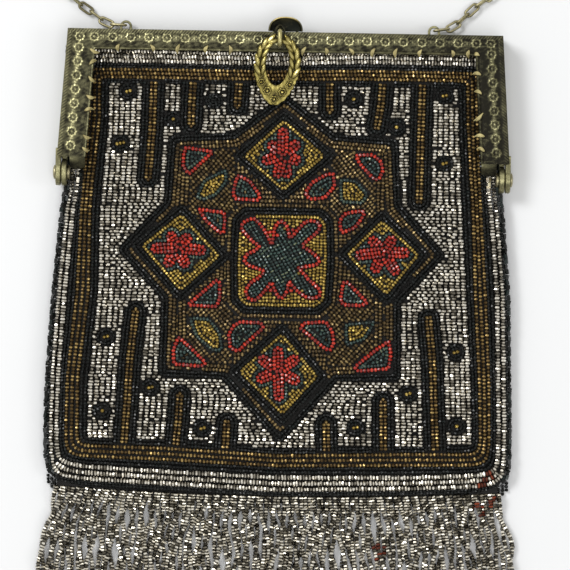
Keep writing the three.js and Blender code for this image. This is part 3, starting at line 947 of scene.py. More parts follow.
@dataclass
class Chart:
    """The bead chart of one face: which places are taken, and the beads laid so far.

    Places are millimetres across, and down from a line a little below the frame's top edge.
    """

    start: float = 0.7
    taken: Mask = field(default_factory=lambda: np.zeros((CELLS, CELLS), bool))
    laid: dict[Bead, list[tuple[Array, Array, Array]]] = field(default_factory=dict)
    chance: np.random.Generator = field(default_factory=lambda: np.random.default_rng(11))

    @staticmethod
    def cells(points: Array) -> tuple[Whole, Whole]:
        """The cells that points fall in, as row and column.

        Args:
            points: Places across and down.

        Returns:
            Their rows and columns.
        """
        column = np.clip(((points[..., 0] - LEFT) / CELL).astype(int), 0, CELLS - 1)
        row = np.clip(((points[..., 1] - HEAD) / CELL).astype(int), 0, CELLS - 1)
        return row, column

    @staticmethod
    def axes() -> tuple[Array, Array]:
        """The middles of the cells, across and down."""
        middle = (np.arange(CELLS) + 0.5) * CELL
        return LEFT + middle, HEAD + middle

    @classmethod
    def area(cls, points: Points) -> Mask:
        """The cells inside a closed polyline, by counting how many sides lie to the right of each.

        Args:
            points: Its corners in order.

        Returns:
            True for each cell inside.
        """
        x, y = cls.axes()
        corners = np.asarray(points, float)
        inside = np.zeros((CELLS, CELLS), bool)
        for (x0, y0), (x1, y1) in zip(corners, np.roll(corners, -1, axis=0)):
            if y0 == y1:
                continue
            rows = (y >= min(y0, y1)) & (y < max(y0, y1))
            cross = x0 + (y[rows] - y0) * (x1 - x0) / (y1 - y0)
            inside[rows] ^= x[None, :] < cross[:, None]
        return inside

    @classmethod
    def near(cls, segments: Sequence[tuple[float, float, float, float]], reach: float) -> Mask:
        """The cells near some straight segments.

        Args:
            segments: Across and down of each one's start and end.
            reach: How near.

        Returns:
            True for each cell that near.
        """
        x, y = cls.axes()
        found = np.zeros((CELLS, CELLS), bool)
        for x0, y0, x1, y1 in segments:
            dx, dy = x1 - x0, y1 - y0
            rows = np.flatnonzero((y > min(y0, y1) - reach) & (y < max(y0, y1) + reach))
            columns = np.flatnonzero((x > min(x0, x1) - reach) & (x < max(x0, x1) + reach))
            px, py = np.meshgrid(x[columns], y[rows])
            along = np.clip(((px - x0) * dx + (py - y0) * dy) / max(dx * dx + dy * dy, 1e-9), 0, 1)
            gap = np.hypot(px - x0 - along * dx, py - y0 - along * dy)
            found[np.ix_(rows, columns)] |= gap < reach
        return found

    def _keep(self, kind: Bead, places: Array, along: Array, length: float) -> None:
        """Adds beads of one length to those laid."""
        self.laid.setdefault(kind, []).append((places, along, np.full(len(places), length)))

    def lay(
        self,
        line: Array,
        kind: Bead,
        within: Mask | None = None,
        loose: float = 0.06,
        squeeze: float = 1.0,
        against: Mask | None = None,
    ) -> None:
        """Threads beads along a line wherever the chart is free.

        Args:
            line: The string's corners.
            kind: The bead.
            within: Cells that the beads keep to, if given.
            loose: How far beads stray sideways.
            squeeze: A factor on the bead's length.
            against: The taken cells to keep clear of, if not all of them.
        """
        taken = self.taken if against is None else against
        fine = 0.1
        points = resample(line, fine)
        along = unit(np.gradient(points, axis=0))
        side = np.stack([-along[:, 1], along[:, 0]], axis=1) * kind.radius * 0.5
        free = ~(taken[self.cells(points)] | taken[self.cells(points + side)])
        free &= ~taken[self.cells(points - side)]
        if within is not None:
            free &= within[self.cells(points)]
        ends = np.flatnonzero(np.diff(np.concatenate([[0], free.astype(int), [0]])))
        room = kind.length * squeeze
        for start, stop in ends.reshape(-1, 2):
            count = int(round((stop - start) * fine / room))
            if count < 1:
                continue
            at = start + (np.arange(count) + 0.5) * (stop - start) / count
            near = at.astype(int).clip(0, len(points) - 1)
            stray = self.chance.normal(0, loose, (count, 1))
            place = points[near] + side[near] / kind.radius * stray
            self._keep(kind, place, along[near], (stop - start) * fine / count)
        self._mark(points[free], kind.radius)

    def band(self, strings: Sequence[tuple[Array, Bead]], loose: float = 0.06, squeeze: float = 1.0) -> None:
        """Lays strings side by side that keep clear of older strings only.

        Args:
            strings: Each string's line and bead.
            loose: How far beads stray sideways.
            squeeze: A factor on the bead's length.
        """
        before = self.taken.copy()
        for line, kind in strings:
            self.lay(line, kind, loose=loose, squeeze=squeeze, against=before)

    def _mark(self, points: Array, radius: float) -> None:
        """Takes the cells within a bead's radius of the points.

        Args:
            points: The beads' places.
            radius: The bead's radius.
        """
        if not len(points):
            return
        reach = int(radius / CELL)
        shift = np.arange(-reach, reach + 1)
        down, across = np.meshgrid(shift, shift, indexing="ij")
        disc = np.hypot(down, across) * CELL <= radius * 0.96
        row, column = self.cells(points)
        rows = np.clip(row[:, None] + down[disc], 0, CELLS - 1)
        columns = np.clip(column[:, None] + across[disc], 0, CELLS - 1)
        self.taken[rows, columns] = True

    def courses(self, area: Mask, kind: Bead) -> None:
        """Fills an area with level courses of beads on upright strings that follow the area's edges.

        Each free run of a course is filled evenly. Where a run lies under one of the course above, its
        ends move only part of the way from that one's, and it keeps the count as long as that fits.

        Args:
            area: The cells to fill.
            kind: The bead.
        """
        pitch = kind.radius * 2 * 1.02
        follow, under, fits = 0.6, 0.8, 0.75
        rows = np.flatnonzero(area.any(axis=1))
        before: list[tuple[float, float, Array]] = []
        for down in HEAD + CELL * np.arange(rows[0], rows[-1], kind.length / CELL):
            row = int((down - HEAD) / CELL)
            free = (area[row] & ~self.taken[row]).astype(int)
            runs = np.flatnonzero(np.diff(np.concatenate([[0], free, [0]]))).reshape(-1, 2) * CELL + LEFT
            now = []
            for low, high in runs[runs[:, 1] - runs[:, 0] > 0.7 * pitch]:
                over = [run for run in before if abs(run[0] - low) < under and abs(run[1] - high) < under]
                last_low, last_high, last = over[0] if over else (low, high, np.zeros(0))
                if over:
                    low, high = follow * last_low + 0.4 * low, follow * last_high + 0.4 * high
                count = max(1, round((high - low) / pitch))
                if over and abs((high - low) / pitch - len(last)) < fits:
                    count = len(last)
                x = low + (np.arange(count) + 0.5) * (high - low) / count
                drift = x - last if len(last) == count else 0 * x
                along = unit(np.stack([drift, np.full(count, kind.length)], axis=1))
                place = np.stack([x, np.full(count, down)], axis=1) + self.chance.normal(0, 0.06, (count, 2))
                self._keep(kind, place, along, kind.length)
                self._mark(place, kind.radius)
                now.append((low, high, x))
            before = now

    def plug(self, area: Mask, kind: Bead) -> None:
        """Puts single beads, turned at random, into the gaps that are left in an area.

        Args:
            area: The cells to fill.
            kind: The bead.
        """
        reach = int(0.62 * kind.radius / CELL)
        rows, columns = np.nonzero(area & ~self.taken)
        found = []
        for i in self.chance.permutation(len(rows)):
            row, column = rows[i], columns[i]
            if not self.taken[row - reach : row + reach + 1, column - reach : column + reach + 1].any():
                found.append((LEFT + (column + 0.5) * CELL, HEAD + (row + 0.5) * CELL))
                self._mark(np.array(found[-1:]), kind.radius)
        if found:
            turn = self.chance.uniform(0, pi, len(found))
            along = np.stack([np.cos(turn), np.sin(turn)], axis=1)
            self._keep(kind, np.array(found), along, kind.length)

    def spoil(self, kind: Bead, into: Bead, blots: Sequence[tuple[float, float, float]]) -> None:
        """Turns most beads of one kind inside round blots into another kind.

        Args:
            kind: The bead that is changed.
            into: The bead it becomes.
            blots: Across, down and radius of each blot.
        """
        kept = []
        for place, along, length in self.laid.get(kind, []):
            hit = np.zeros(len(place), bool)
            for x, down, radius in blots:
                hit |= np.hypot(place[:, 0] - x, place[:, 1] - down) < radius
            hit &= self.chance.random(len(place)) < 0.7
            kept.append((place[~hit], along[~hit], length[~hit]))
            if hit.any():
                self.laid.setdefault(into, []).append((place[hit], along[hit], length[hit]))
        self.laid[kind] = kept

    def fill(self, area: Mask, angle: float, kind: Bead) -> None:
        """Fills an area with straight rows of beads.

        Args:
            area: The cells to fill.
            angle: The rows' direction in degrees, from across towards down.
            kind: The bead.
        """
        rows, columns = np.nonzero(area)
        if not len(rows):
            return
        places = np.stack([LEFT + columns * CELL, HEAD + rows * CELL], axis=1)
        run = np.array([np.cos(np.radians(angle)), np.sin(np.radians(angle))])
        over = np.array([-run[1], run[0]])
        near, far = (places @ run).min() - 1, (places @ run).max() + 1
        low, high = (places @ over).min(), (places @ over).max()
        pitch = kind.radius * 2 * 0.99
        count = max(1, int(round((high - low) / pitch)))
        steps = np.linspace(near, far, 24)
        for i in range(count):
            level = low + (high - low) * (i + 0.5) / count
            wave = 0.12 * np.sin(steps * 0.35 + i * 0.9)
            self.lay(steps[:, None] * run + (level + wave)[:, None] * over, kind, area)

    def on(self, shape: BagShape, kind: Bead, front: bool, sink: float, batch: Beads) -> Beads:
        """Moves the laid beads of one kind onto the bag's face.

        Args:
            shape: The bag's face.
            kind: The bead.
            front: Whether they go on the front.
            sink: How far the cloth lies under the face.
            batch: The batch to add to.

        Returns:
            The batch.
        """
        for place, along, length in self.laid.get(kind, []):
            x, depth = place[:, 0], place[:, 1] + self.start
            point, normal = shape.upright(x, depth, front)
            ahead, _ = shape.upright(x + along[:, 0] * 0.3, depth + along[:, 1] * 0.3, front)
            rest = kind.radius * 0.92
            lift = np.sign(normal[:, 2:]) * (0, 0, rest - sink)
            batch.add(point + lift, unit(ahead - point), length)
        return batch


@dataclass(frozen=True)
class Border:
    """The concentric border strings: five known loops of stations, and the strings between them.

    Each loop runs clockwise from the upper left corner: top, right side, lower edge, left side.
    """

    known: tuple[Outline, ...] = (
        # outer silver
        (
            (-73.4, 6.6), (-30, 6.8), (-2, 6.9), (25, 5.8), (72, 5.7), (71.8, 30), (73.4, 54), (74.4, 62),
            (76.9, 90), (77.7, 120), (78.2, 136), (78.3, 147), (77.8, 151.5), (74.5, 154.2), (68, 155.2),
            (45, 156.3), (0, 157.5), (-40, 155.9), (-68, 154.8), (-74.5, 153.9), (-77.8, 151.5),
            (-78.6, 146), (-78.8, 136), (-78.5, 120), (-76.8, 90), (-74.4, 62), (-73.2, 54), (-72.4, 30),
        ),
        # inner silver
        (
            (-70.4, 10.0), (-30, 10.15), (-2, 10.2), (25, 9.1), (69, 9.0), (69.9, 30), (71.4, 54),
            (72.4, 62), (74.9, 90), (75.7, 120), (76.2, 136), (76.2, 145.4), (75.6, 149.0), (73, 150.8),
            (66.5, 151.5), (45, 152.5), (0, 153.2), (-40, 151.8), (-66, 150.7), (-73.2, 149.6),
            (-75.8, 148.0), (-76.6, 144.6), (-76.8, 136), (-76.5, 120), (-74.8, 90), (-72.4, 62),
            (-71.2, 54), (-70.4, 30),
        ),
        # outer bronze
        (
            (-67.4, 13.0), (-30, 13.0), (-2, 13.0), (25, 12.3), (66.4, 12.2), (66.9, 30), (68.3, 54),
            (68.8, 62), (70.8, 90), (72.6, 120), (73, 136), (73.0, 142.0), (72.2, 145.6), (70.0, 147.3),
            (66, 147.8), (45, 148.2), (0, 149.1), (-40, 147.6), (-66, 147.0), (-70.4, 146.6),
            (-72.8, 145.0), (-73.5, 141.4), (-73.5, 136), (-73.3, 120), (-70.4, 90), (-69.5, 62),
            (-69.0, 54), (-67.4, 30),
        ),
        # inner bronze
        (
            (-64.2, 15.7), (-30, 15.7), (-2, 15.6), (25, 15.0), (63.4, 14.9), (63.8, 30), (65.6, 54),
            (66.1, 62), (67.4, 90), (69.3, 120), (69.9, 136), (69.9, 140.4), (69.3, 142.8), (67.6, 144.0),
            (65, 144.2), (45, 144.5), (0, 145.7), (-40, 143.8), (-65, 143.5), (-67.6, 143.3),
            (-69.2, 142.2), (-69.8, 139.8), (-69.7, 136), (-69.8, 120), (-66.6, 90), (-66.6, 62),
            (-66.2, 54), (-63.9, 30),
        ),
        # inner black
        (
            (-61.6, 17.5), (-30, 17.3), (-2, 17.3), (25, 17.2), (61.0, 17.1), (61.4, 30), (62.7, 54),
            (63.1, 62), (65.0, 90), (67.0, 120), (67.8, 136), (67.8, 139.2), (67.4, 140.7), (66.2, 141.5),
            (64.5, 141.7), (45, 142.1), (0, 143.6), (-40, 141.0), (-64, 141.1), (-65.6, 140.9),
            (-66.7, 140.2), (-67.0, 138.8), (-67.0, 136), (-66.8, 120), (-64.0, 90), (-63.9, 62),
            (-63.4, 54), (-61.4, 30),
        ),
    )

    def loop(self, first: int, share: float) -> Array:
        """A closed string between one known loop and the next.

        Args:
            first: The outer one of the two, counted from the outside.
            share: How far it lies towards the inner one.

        Returns:
            Its points.
        """
        one, two = (np.array(stations, float) for stations in self.known[first : first + 2])
        return rounded(one * (1 - share) + two * share, 1.6)

    def strings(self) -> list[tuple[Array, Bead]]:
        """The border's closed strings, each with its bead, those that lie on top first.

        Returns:
            Each string's points and its bead.
        """
        rows = (
            (Bead.SILVER, 0, (0.0, 1.0)),
            (Bead.BRONZE, 2, (0.0, 0.5, 1.0)),
            (Bead.BLACK, 1, (0.42, 0.75)),
            (Bead.BLACK, 3, (0.5, 1.0)),
        )
        made = [(self.loop(first, share), kind) for kind, first, shares in rows for share in shares]
        return [*made, (self.outside(1.15), Bead.BLACK), (self.picots(), Bead.BLACK)]

    def outside(self, distance: float) -> Array:
        """A closed string so far outside the outermost silver one."""
        return rounded(offset(self.known[0], distance), 1.2)

    def picots(self) -> Array:
        """The outermost string.

        Between the places where it is caught it bows out by the size of a sine, but not along the
        lower edge.

        Returns:
            Its points.
        """
        size, pitch, straight_from = 0.3, 4.5, 150
        line = resample(self.outside(1.95), 0.4)
        run = unit(np.gradient(line, axis=0))
        out = np.stack([run[:, 1], -run[:, 0]], axis=1)
        bow = size * np.abs(np.sin(pi * arc_lengths(line) / pitch))[:, None]
        return line + out * (bow * (line[:, 1:] < straight_from))

    def field_area(self) -> Mask:
        """The cells inside the innermost string."""
        return Chart.area(self.loop(3, 1.0))


# The front's chart, as places across and down in millimetres: the prongs' middle lines, each eye's
# middle and how many gold beads it has, and the outlines of the medallion and what is in it.
PRONGS: tuple[Outline, ...] = (
    ((-45.2, 17.0), (-45.5, 34), (-46.6, 50.4)),
    ((-31.6, 17.0), (-31.9, 24), (-32.0, 31.6)),
    ((-15.8, 17.0), (-16.2, 25.0)),
    ((15.6, 16.5), (15.8, 26.0)),
    ((33.9, 16.3), (33.4, 24), (32.2, 31.4)),
    ((47.7, 16.3), (47.4, 34), (47.2, 56.6)),
    ((-50.0, 96.6), (-51.6, 112), (-52.4, 128), (-53.3, 142.4)),
    ((-34.2, 125.4), (-34.6, 134), (-35.4, 142.7)),
    ((-17.8, 134.6), (-18.2, 143.6)),
    ((16.5, 134.4), (16.9, 143.9)),
    ((36.0, 126.2), (36.5, 143.3)),
    ((51.2, 97.4), (52.8, 112), (53.6, 128), (54.5, 143.0)),
)

EYES: tuple[tuple[float, float, int], ...] = (
    (-54.0, 20.6, 2), (-56.4, 38.6, 3), (-38.3, 30.0, 1), (-24.3, 23.4, 0), (23.9, 22.0, 1),
    (38.9, 31.4, 1), (55.4, 20.2, 2), (55.8, 43.6, 2), (-60.2, 105.6, 2), (-61.0, 131.2, 1),
    (-44.5, 122.8, 2), (-26.2, 136.6, 2), (26.6, 135.4, 2), (44.6, 123.4, 2), (60.8, 108.8, 2),
    (61.6, 134.4, 1),
)

MEDALLION: Outline = (
    (0.2, 22.0), (17.4, 35.2), (38.4, 36.6), (39.7, 58.6), (55.2, 75.3), (40.2, 91.7), (40.6, 117.6),
    (19.2, 118.5), (0.6, 139.8), (-19.0, 118.4), (-40.4, 117.6), (-39.9, 91.7), (-55.0, 75.3),
    (-39.6, 58.8), (-38.3, 36.6), (-17.2, 35.4),
)

SQUARE: Outline = (
    (-12.2, 62.4), (12.8, 62.4), (15.3, 64.9), (15.9, 78.0), (15.2, 91.6), (12.4, 94.2), (-12.0, 94.2),
    (-14.8, 91.6), (-15.2, 78.0), (-14.8, 65.0),
)

STAR: Outline = (
    (-1.4, 64.8), (-0.2, 64.3), (1.4, 65.4), (2.3, 67.2), (2.9, 70.3), (4.6, 68.2), (6.4, 66.0),
    (8.1, 64.4), (10.2, 64.0), (12.3, 64.5), (13.4, 66.3), (12.9, 67.7), (11.0, 69.5), (8.9, 71.3),
    (7.2, 72.9), (10.0, 74.6), (12.2, 76.2), (13.4, 77.9), (12.6, 79.5), (10.1, 80.1), (6.1, 80.8),
    (8.1, 82.6), (9.9, 84.7), (12.0, 86.4), (13.8, 88.1), (13.8, 90.2), (11.4, 91.3), (8.2, 90.7),
    (5.4, 88.6), (2.7, 85.7), (2.5, 88.3), (1.5, 90.4), (0.1, 91.7), (-1.3, 90.5), (-2.4, 88.4),
    (-3.3, 86.0), (-4.9, 88.4), (-6.6, 90.2), (-8.3, 92.2), (-10.8, 92.1), (-12.4, 89.6), (-11.9, 87.5),
    (-10.5, 85.7), (-8.1, 84.3), (-6.0, 82.1), (-8.9, 81.1), (-11.7, 80.1), (-13.1, 78.7), (-12.8, 77.3),
    (-11.8, 75.9), (-9.3, 74.8), (-7.8, 73.4), (-10.1, 72.0), (-13.0, 68.9), (-14.2, 67.5), (-13.9, 65.4),
    (-12.3, 64.3), (-9.7, 63.5), (-8.1, 64.9), (-6.3, 67.0), (-4.9, 69.4), (-3.4, 72.6), (-2.8, 66.9),
)

CORNER: Outline = (
    (79.2, 149.0), (80.4, 149.0), (80.2, 156.4), (78.6, 158.6), (70.0, 158.4), (70.0, 156.6),
    (75.0, 155.4), (78.4, 152.4),
)

NOTCHES: Outline = ((2.9, 68.6), (-2.9, 69.4), (2.6, 87.4), (-3.0, 87.6))

DIAMONDS: tuple[Outline, ...] = (
    ((0.0, 29.2), (14.8, 41.8), (0.2, 54.5), (-14.0, 42.3)),
    ((-34.8, 62.4), (-20.9, 76.9), (-34.7, 89.8), (-48.8, 73.9)),
    ((34.5, 63.3), (47.9, 75.3), (36.5, 89.9), (22.1, 75.7)),
    ((0.6, 102.9), (13.6, 117.9), (1.3, 131.9), (-14.3, 116.8)),
)

FLOWERS: tuple[Outline, ...] = (
    (
        (-0.2, 41.5), (-0.2, 32.9), (-4.6, 37.9), (-6.6, 43.9), (-1.9, 49.0), (5.0, 37.6), (5.4, 43.8),
        (1.6, 49.0),
    ),
    (
        (-36.3, 74.4), (-44.4, 74.8), (-38.6, 69.6), (-32.0, 70.4), (-26.8, 75.2), (-32.8, 80.6),
        (-39.4, 80.4),
    ),
    ((35.2, 74.6), (26.2, 75.9), (30.8, 70.2), (38.4, 69.8), (43.4, 74.8), (39.8, 81.8), (32.2, 81.2)),
    ((-0.4, 116.3), (-0.6, 108.6), (-6.6, 112.0), (-7.2, 119.4), (0.0, 126.0), (6.0, 111.8), (6.4, 119.8)),
)

LEAVES: tuple[Outline, ...] = (
    ((-33.9, 39.7), (-24.3, 41.0), (-32.5, 48.9), (-34.6, 46.1), (-34.4, 42.5)),
    ((-15.6, 48.9), (-11.4, 51.0), (-7.7, 56.0), (-8.4, 57.5), (-16.6, 57.1), (-17.1, 54.4)),
    ((-28.9, 61.0), (-20.1, 62.0), (-19.7, 64.9), (-20.2, 69.1), (-21.4, 68.9), (-26.0, 65.1)),
    ((25.1, 41.3), (30.7, 41.1), (33.7, 43.2), (34.6, 46.6), (33.1, 49.7), (31.4, 49.4), (26.6, 44.5)),
    ((17.4, 47.8), (17.9, 52.3), (14.3, 56.4), (9.5, 56.8), (7.8, 54.8), (10.0, 51.2), (14.7, 48.3)),
    ((27.9, 60.6), (28.4, 61.7), (25.2, 66.3), (20.6, 68.3), (19.9, 64.4), (21.1, 61.9), (24.5, 60.9)),
    ((-22.3, 85.3), (-21.0, 86.2), (-21.1, 91.6), (-22.2, 94.5), (-32.1, 94.1), (-25.5, 88.3)),
    ((21.5, 85.3), (23.1, 85.3), (29.9, 92.1), (28.0, 93.3), (21.6, 93.1), (20.7, 91.2)),
    (
        (-13.9, 99.6), (-6.9, 99.8), (-5.6, 101.2), (-14.4, 109.7), (-17.0, 108.7), (-17.7, 104.2),
        (-16.3, 101.2),
    ),
    ((8.5, 99.5), (15.7, 99.1), (18.0, 102.3), (18.7, 106.3), (17.3, 109.0), (15.4, 108.1), (6.9, 101.3)),
    ((-35.0, 105.2), (-30.6, 109.0), (-25.4, 114.0), (-27.0, 115.2), (-36.4, 114.6), (-36.9, 110.0)),
    ((37.6, 105.3), (38.4, 110.0), (37.7, 114.9), (27.0, 115.9), (25.9, 114.6), (32.0, 109.4)),
)

SPEARS: tuple[Outline, ...] = (
    ((-27.9, 56.0), (-26.2, 52.0), (-20.9, 49.2), (-20.8, 50.7), (-23.8, 54.7), (-27.2, 56.2)),
    ((21.2, 51.2), (24.3, 51.4), (27.8, 55.1), (26.7, 56.6), (21.5, 56.3)),
    ((-29.4, 99.9), (-25.3, 100.1), (-22.0, 104.2), (-21.4, 108.2), (-22.6, 108.4), (-27.6, 104.3)),
    ((24.0, 101.0), (30.7, 100.0), (28.2, 103.8), (24.2, 105.2)),
)


@dataclass
class Pattern:
    """The charted pattern of the front: border, prongs, eyes, medallion and its motifs."""

    chart: Chart = field(default_factory=Chart)
    border: Border = field(default_factory=Border)

    def lay(self) -> Chart:
        """Lays every string of the front in order, what lies on top first.

        Returns:
            The filled chart.
        """
        self._medallion()
        self._prongs()
        self._border()
        self._field()
        return self.chart

    def _loops(
        self, outlines: Sequence[Outline], outs: Sequence[float], kind: Bead, cut: float = 1.0
    ) -> None:
        """Closed strings about outlines.

        Args:
            outlines: The outlines.
            outs: How far outside each outline its strings lie.
            kind: The bead.
            cut: How far the corners are rounded.
        """
        lines = [rounded(offset(points, out), cut) for points in outlines for out in outs]
        self.chart.band([(line, kind) for line in lines], loose=0.08)

    def _medallion(self) -> None:
        """The medallion: black outlines first, then its motifs, then the tan ground round them."""
        area = Chart.area(MEDALLION)
        self._loops((SQUARE, *DIAMONDS), (0.6, 1.85), Bead.BLACK)
        self._loops((MEDALLION,), (-0.62, 0.62), Bead.BLACK)
        self._star()
        for diamond, flower, angle in zip(DIAMONDS, FLOWERS, (48, 42, -42, -48)):
            self._flower(diamond, flower, angle)
        self._loops(LEAVES, (0.0,), Bead.RED, 0.7)
        for leaf in LEAVES:
            self._loops((leaf,), (-1.35,), Bead.TEAL, 0.4)
            self.chart.plug(Chart.area(leaf), Bead.TEAL)
        self._loops(SPEARS, (1.2,), Bead.TEAL, 0.7)
        self._loops(SPEARS, (0.0,), Bead.GOLD, 0.5)
        for spear in SPEARS:
            self.chart.plug(Chart.area(spear), Bead.GOLD)
        self._loops((MEDALLION,), (-1.95, -3.3), Bead.GROUND)
        self._loops((SQUARE,), (3.2,), Bead.GROUND)
        self._ground(area)

    def _star(self) -> None:
        """The eight-petalled star: a red outline, teal inside it, gold rows round it."""
        self._loops((STAR,), (-0.2,), Bead.RED, 0.7)
        self.chart.plug(self.chart.near([(x, down, x, down) for x, down in NOTCHES], 1.5), Bead.RED)
        star = Chart.area(STAR)
        self.chart.fill(star, 58, Bead.TEAL)
        self.chart.plug(star, Bead.TEAL)
        self._loops((SQUARE,), (-0.66,), Bead.GOLD)
        square = Chart.area(SQUARE)
        self.chart.fill(square, 90, Bead.GOLD)
        self.chart.plug(square, Bead.GOLD)

    def _flower(self, diamond: Outline, flower: Outline, angle: float) -> None:
        """A red flower in a gold diamond.

        Args:
            diamond: The gold ground's corners.
            flower: The flower's middle, then the tips of its petals.
            angle: The direction of the bead rows.
        """
        middle, tips = np.array(flower[0]), np.array(flower[1:])
        run = unit(tips - middle)
        roots, ends = middle + 1.0 * run, tips - 1.1 * run
        turn = np.linspace(-pi / 2, pi / 2, 8)[:, None]
        ground = Chart.area(diamond)
        for reach, kind in ((1.3, Bead.RED), (2.6, Bead.TEAL)):
            for way, root, end in zip(run, roots, ends):
                side = np.array([-way[1], way[0]])
                cap = reach * (np.cos(turn) * way + np.sin(turn) * side)
                self.chart.lay(np.concatenate([end + cap, root - cap, (end + cap)[:1]]), kind, ground)
                if kind is Bead.RED:
                    self.chart.lay(np.stack([root, end]), kind, ground)
            reached = self.chart.near([(*root, *end) for root, end in zip(roots, ends)], reach)
            self.chart.plug(reached & ground, kind)
            self._loops((diamond,), (-0.66,), Bead.GOLD)
        self._loops((diamond,), (-1.9, -3.15), Bead.GOLD)
        self.chart.fill(ground, angle, Bead.GOLD)
        self.chart.plug(ground, Bead.GOLD)

    def _ground(self, area: Mask) -> None:
        """The tan ground: upright rows at the sides, slanting ones in the corners, level ones in between.

        Args:
            area: The medallion's cells.
        """
        middle, belt, square, wing = 77, 14, 16.5, 33
        across, down = np.meshgrid(*Chart.axes())
        aside, off = np.abs(across), np.abs(down - middle)
        corner = (aside > square) & (off > belt) & (aside <= wing)
        lean = np.sign(across) * np.sign(down - middle)
        slants = (corner & (lean > 0), -48), (corner & (lean < 0), 48)
        for part, angle in ((aside > wing, 90), *slants, (off <= belt, 90)):
            self.chart.fill(area & part, angle, Bead.GROUND)
        self.chart.fill(area, 0, Bead.GROUND)
        self.chart.plug(area, Bead.GROUND)

    def _prongs(self) -> None:
        """The prongs: two bronze rows down the middle and black rows round them, and the black eyes."""
        for prong in PRONGS:
            line = resample(np.array(prong), 1.0)
            if line[0, 1] > 60:
                line = line[::-1]
            run = unit(np.gradient(line, axis=0))
            side = np.stack([-run[:, 1], run[:, 0]], axis=1)
            turn = np.linspace(pi / 2, -pi / 2, 9)[:, None]
            strings = []
            for reach, kind in ((0.7, Bead.BRONZE), (2.0, Bead.BLACK), (3.2, Bead.BLACK)):
                tip = line[-1] + reach * (np.cos(turn) * run[-1] + np.sin(turn) * side[-1])
                legs = line + side * reach, (line - side * reach)[::-1]
                strings.append((np.concatenate([legs[0], tip, legs[1]]), kind))
            self.chart.band(strings)
        turn = np.linspace(0, 2 * pi, 25)
        for x, down, gold in EYES:
            if gold:
                reach = 0.55 * gold
                self.chart.lay(np.array([(x - reach, down + 0.3), (x + reach, down - 0.3)]), Bead.GOLD)
            rings = (
                np.stack([x + (reach + 0.3) * np.cos(turn), down + reach * np.sin(turn)], axis=1)
                for reach in ((1.25, 2.4) if gold else (0.5, 1.5, 2.4))
            )
            self.chart.band([(ring, Bead.BLACK) for ring in rings])

    def _border(self) -> None:
        """The concentric border strings."""
        self.chart.band(self.border.strings(), loose=0.05)
        self.chart.lay(self.border.loop(0, 0.5), Bead.SILVER)
        for side in (-1, 1):
            corner = Chart.area(np.array(CORNER) * (side, 1))
            self.chart.fill(corner, 90, Bead.BLACK)
            self.chart.plug(corner, Bead.BLACK)
        self.chart.spoil(Bead.SILVER, Bead.RUST, ((72.0, 155.0, 3.1), (73.6, 151.6, 1.6)))

    def _field(self) -> None:
        """The silver field: upright rows that follow the prongs and the border."""
        area = self.border.field_area() & ~Chart.area(MEDALLION)
        self.chart.courses(area, Bead.SILVER)
        self.chart.plug(area, Bead.SILVER)


@dataclass
class BeadedBag:
    """The bag: a cloth shell, the charted beads on its front, plain silver rows on its back."""

    shape: BagShape = field(default_factory=BagShape)
    sink: float = 1.75
    back_sink: float = 2.0

    def build(self) -> None:
        """Builds the cloth, the front's beads by colour and the back's beads."""
        self._cloth()
        chart = Pattern().lay()
        self._beads(chart, tuple(Bead), True, 100, 6, 3)
        self._back()

    @staticmethod
    def _fit(piece: bpy.types.Object) -> None:
        """Joins a piece to the purse's body in place of the plain bag."""
        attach(piece, "purse")
        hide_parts("bag_body")

    def _beads(
        self, chart: Chart, kinds: Sequence[Bead], front: bool, seed: int, sides: int, rings: int
    ) -> None:
        """Makes a piece of each kind of bead on one face.

        Args:
            chart: The face's chart.
            kinds: The kinds of bead it holds.
            front: Whether it is the front.
            seed: The first kind's seed.
            sides: Corners round each bead.
            rings: Rings of corners along each bead.
        """
        face, sink = ("front", self.sink) if front else ("back", self.back_sink)
        for place, kind in enumerate(kinds):
            batch = chart.on(self.shape, kind, front, sink, Beads(kind, seed + place, sides, rings))
            name = f"{face}_{kind.name.lower()}_beads"
            self._fit(batch.skin(Skin()).make(name, GLASS[kind].look(), smooth=0))

    def _cloth(self) -> None:
        """The cloth shell: rings round the bag at each depth, the bag's face moved in to the beads' feet."""
        depth = np.concatenate([np.arange(1.5, self.shape.end - 2, 2.5), [self.shape.end - 2.0]])
        turn = (np.arange(96) + 0.5) * 2 * pi / 96
        share = np.cos(turn)
        width, _, _, sag = (column[:, None] for column in self.shape.at(depth))
        x = share * (width - 0.4)
        down = depth[:, None] + sag * (1 - share**2)
        rings = np.zeros((len(depth), len(turn), 3))
        for upper, sink in ((True, self.sink), (False, self.back_sink)):
            half = (np.sin(turn) > 0) == upper
            point, normal = self.shape.upright(x[:, half].ravel(), down[:, half].ravel(), upper)
            rings[:, half] = (point - normal * sink).reshape(len(depth), -1, 3)
        shell = Skin()
        shell.solid(rings[::-1])
        self._fit(shell.make("bag_cloth", Cloth("bag_cloth_weave").look(), 60))

    def _back(self) -> None:
        """The back: upright silver rows within black and bronze border rows."""
        chart = Chart(chance=np.random.default_rng(12))
        border = Border()
        chart.band(border.strings()[2:], squeeze=1.5)
        whole = Chart.area(border.loop(0, 0.4))
        half, pitch = 39, 2.04
        down = np.linspace(2, 158, 50)
        for i in range(-half, half + 1):
            line = i * pitch + 0.2 * np.sin(down * 0.12 + i)
            chart.lay(np.stack([line, down], axis=1), Bead.SILVER, whole, squeeze=1.45)
        self._beads(chart, (Bead.SILVER, Bead.BLACK, Bead.BRONZE), False, 200, 5, 2)


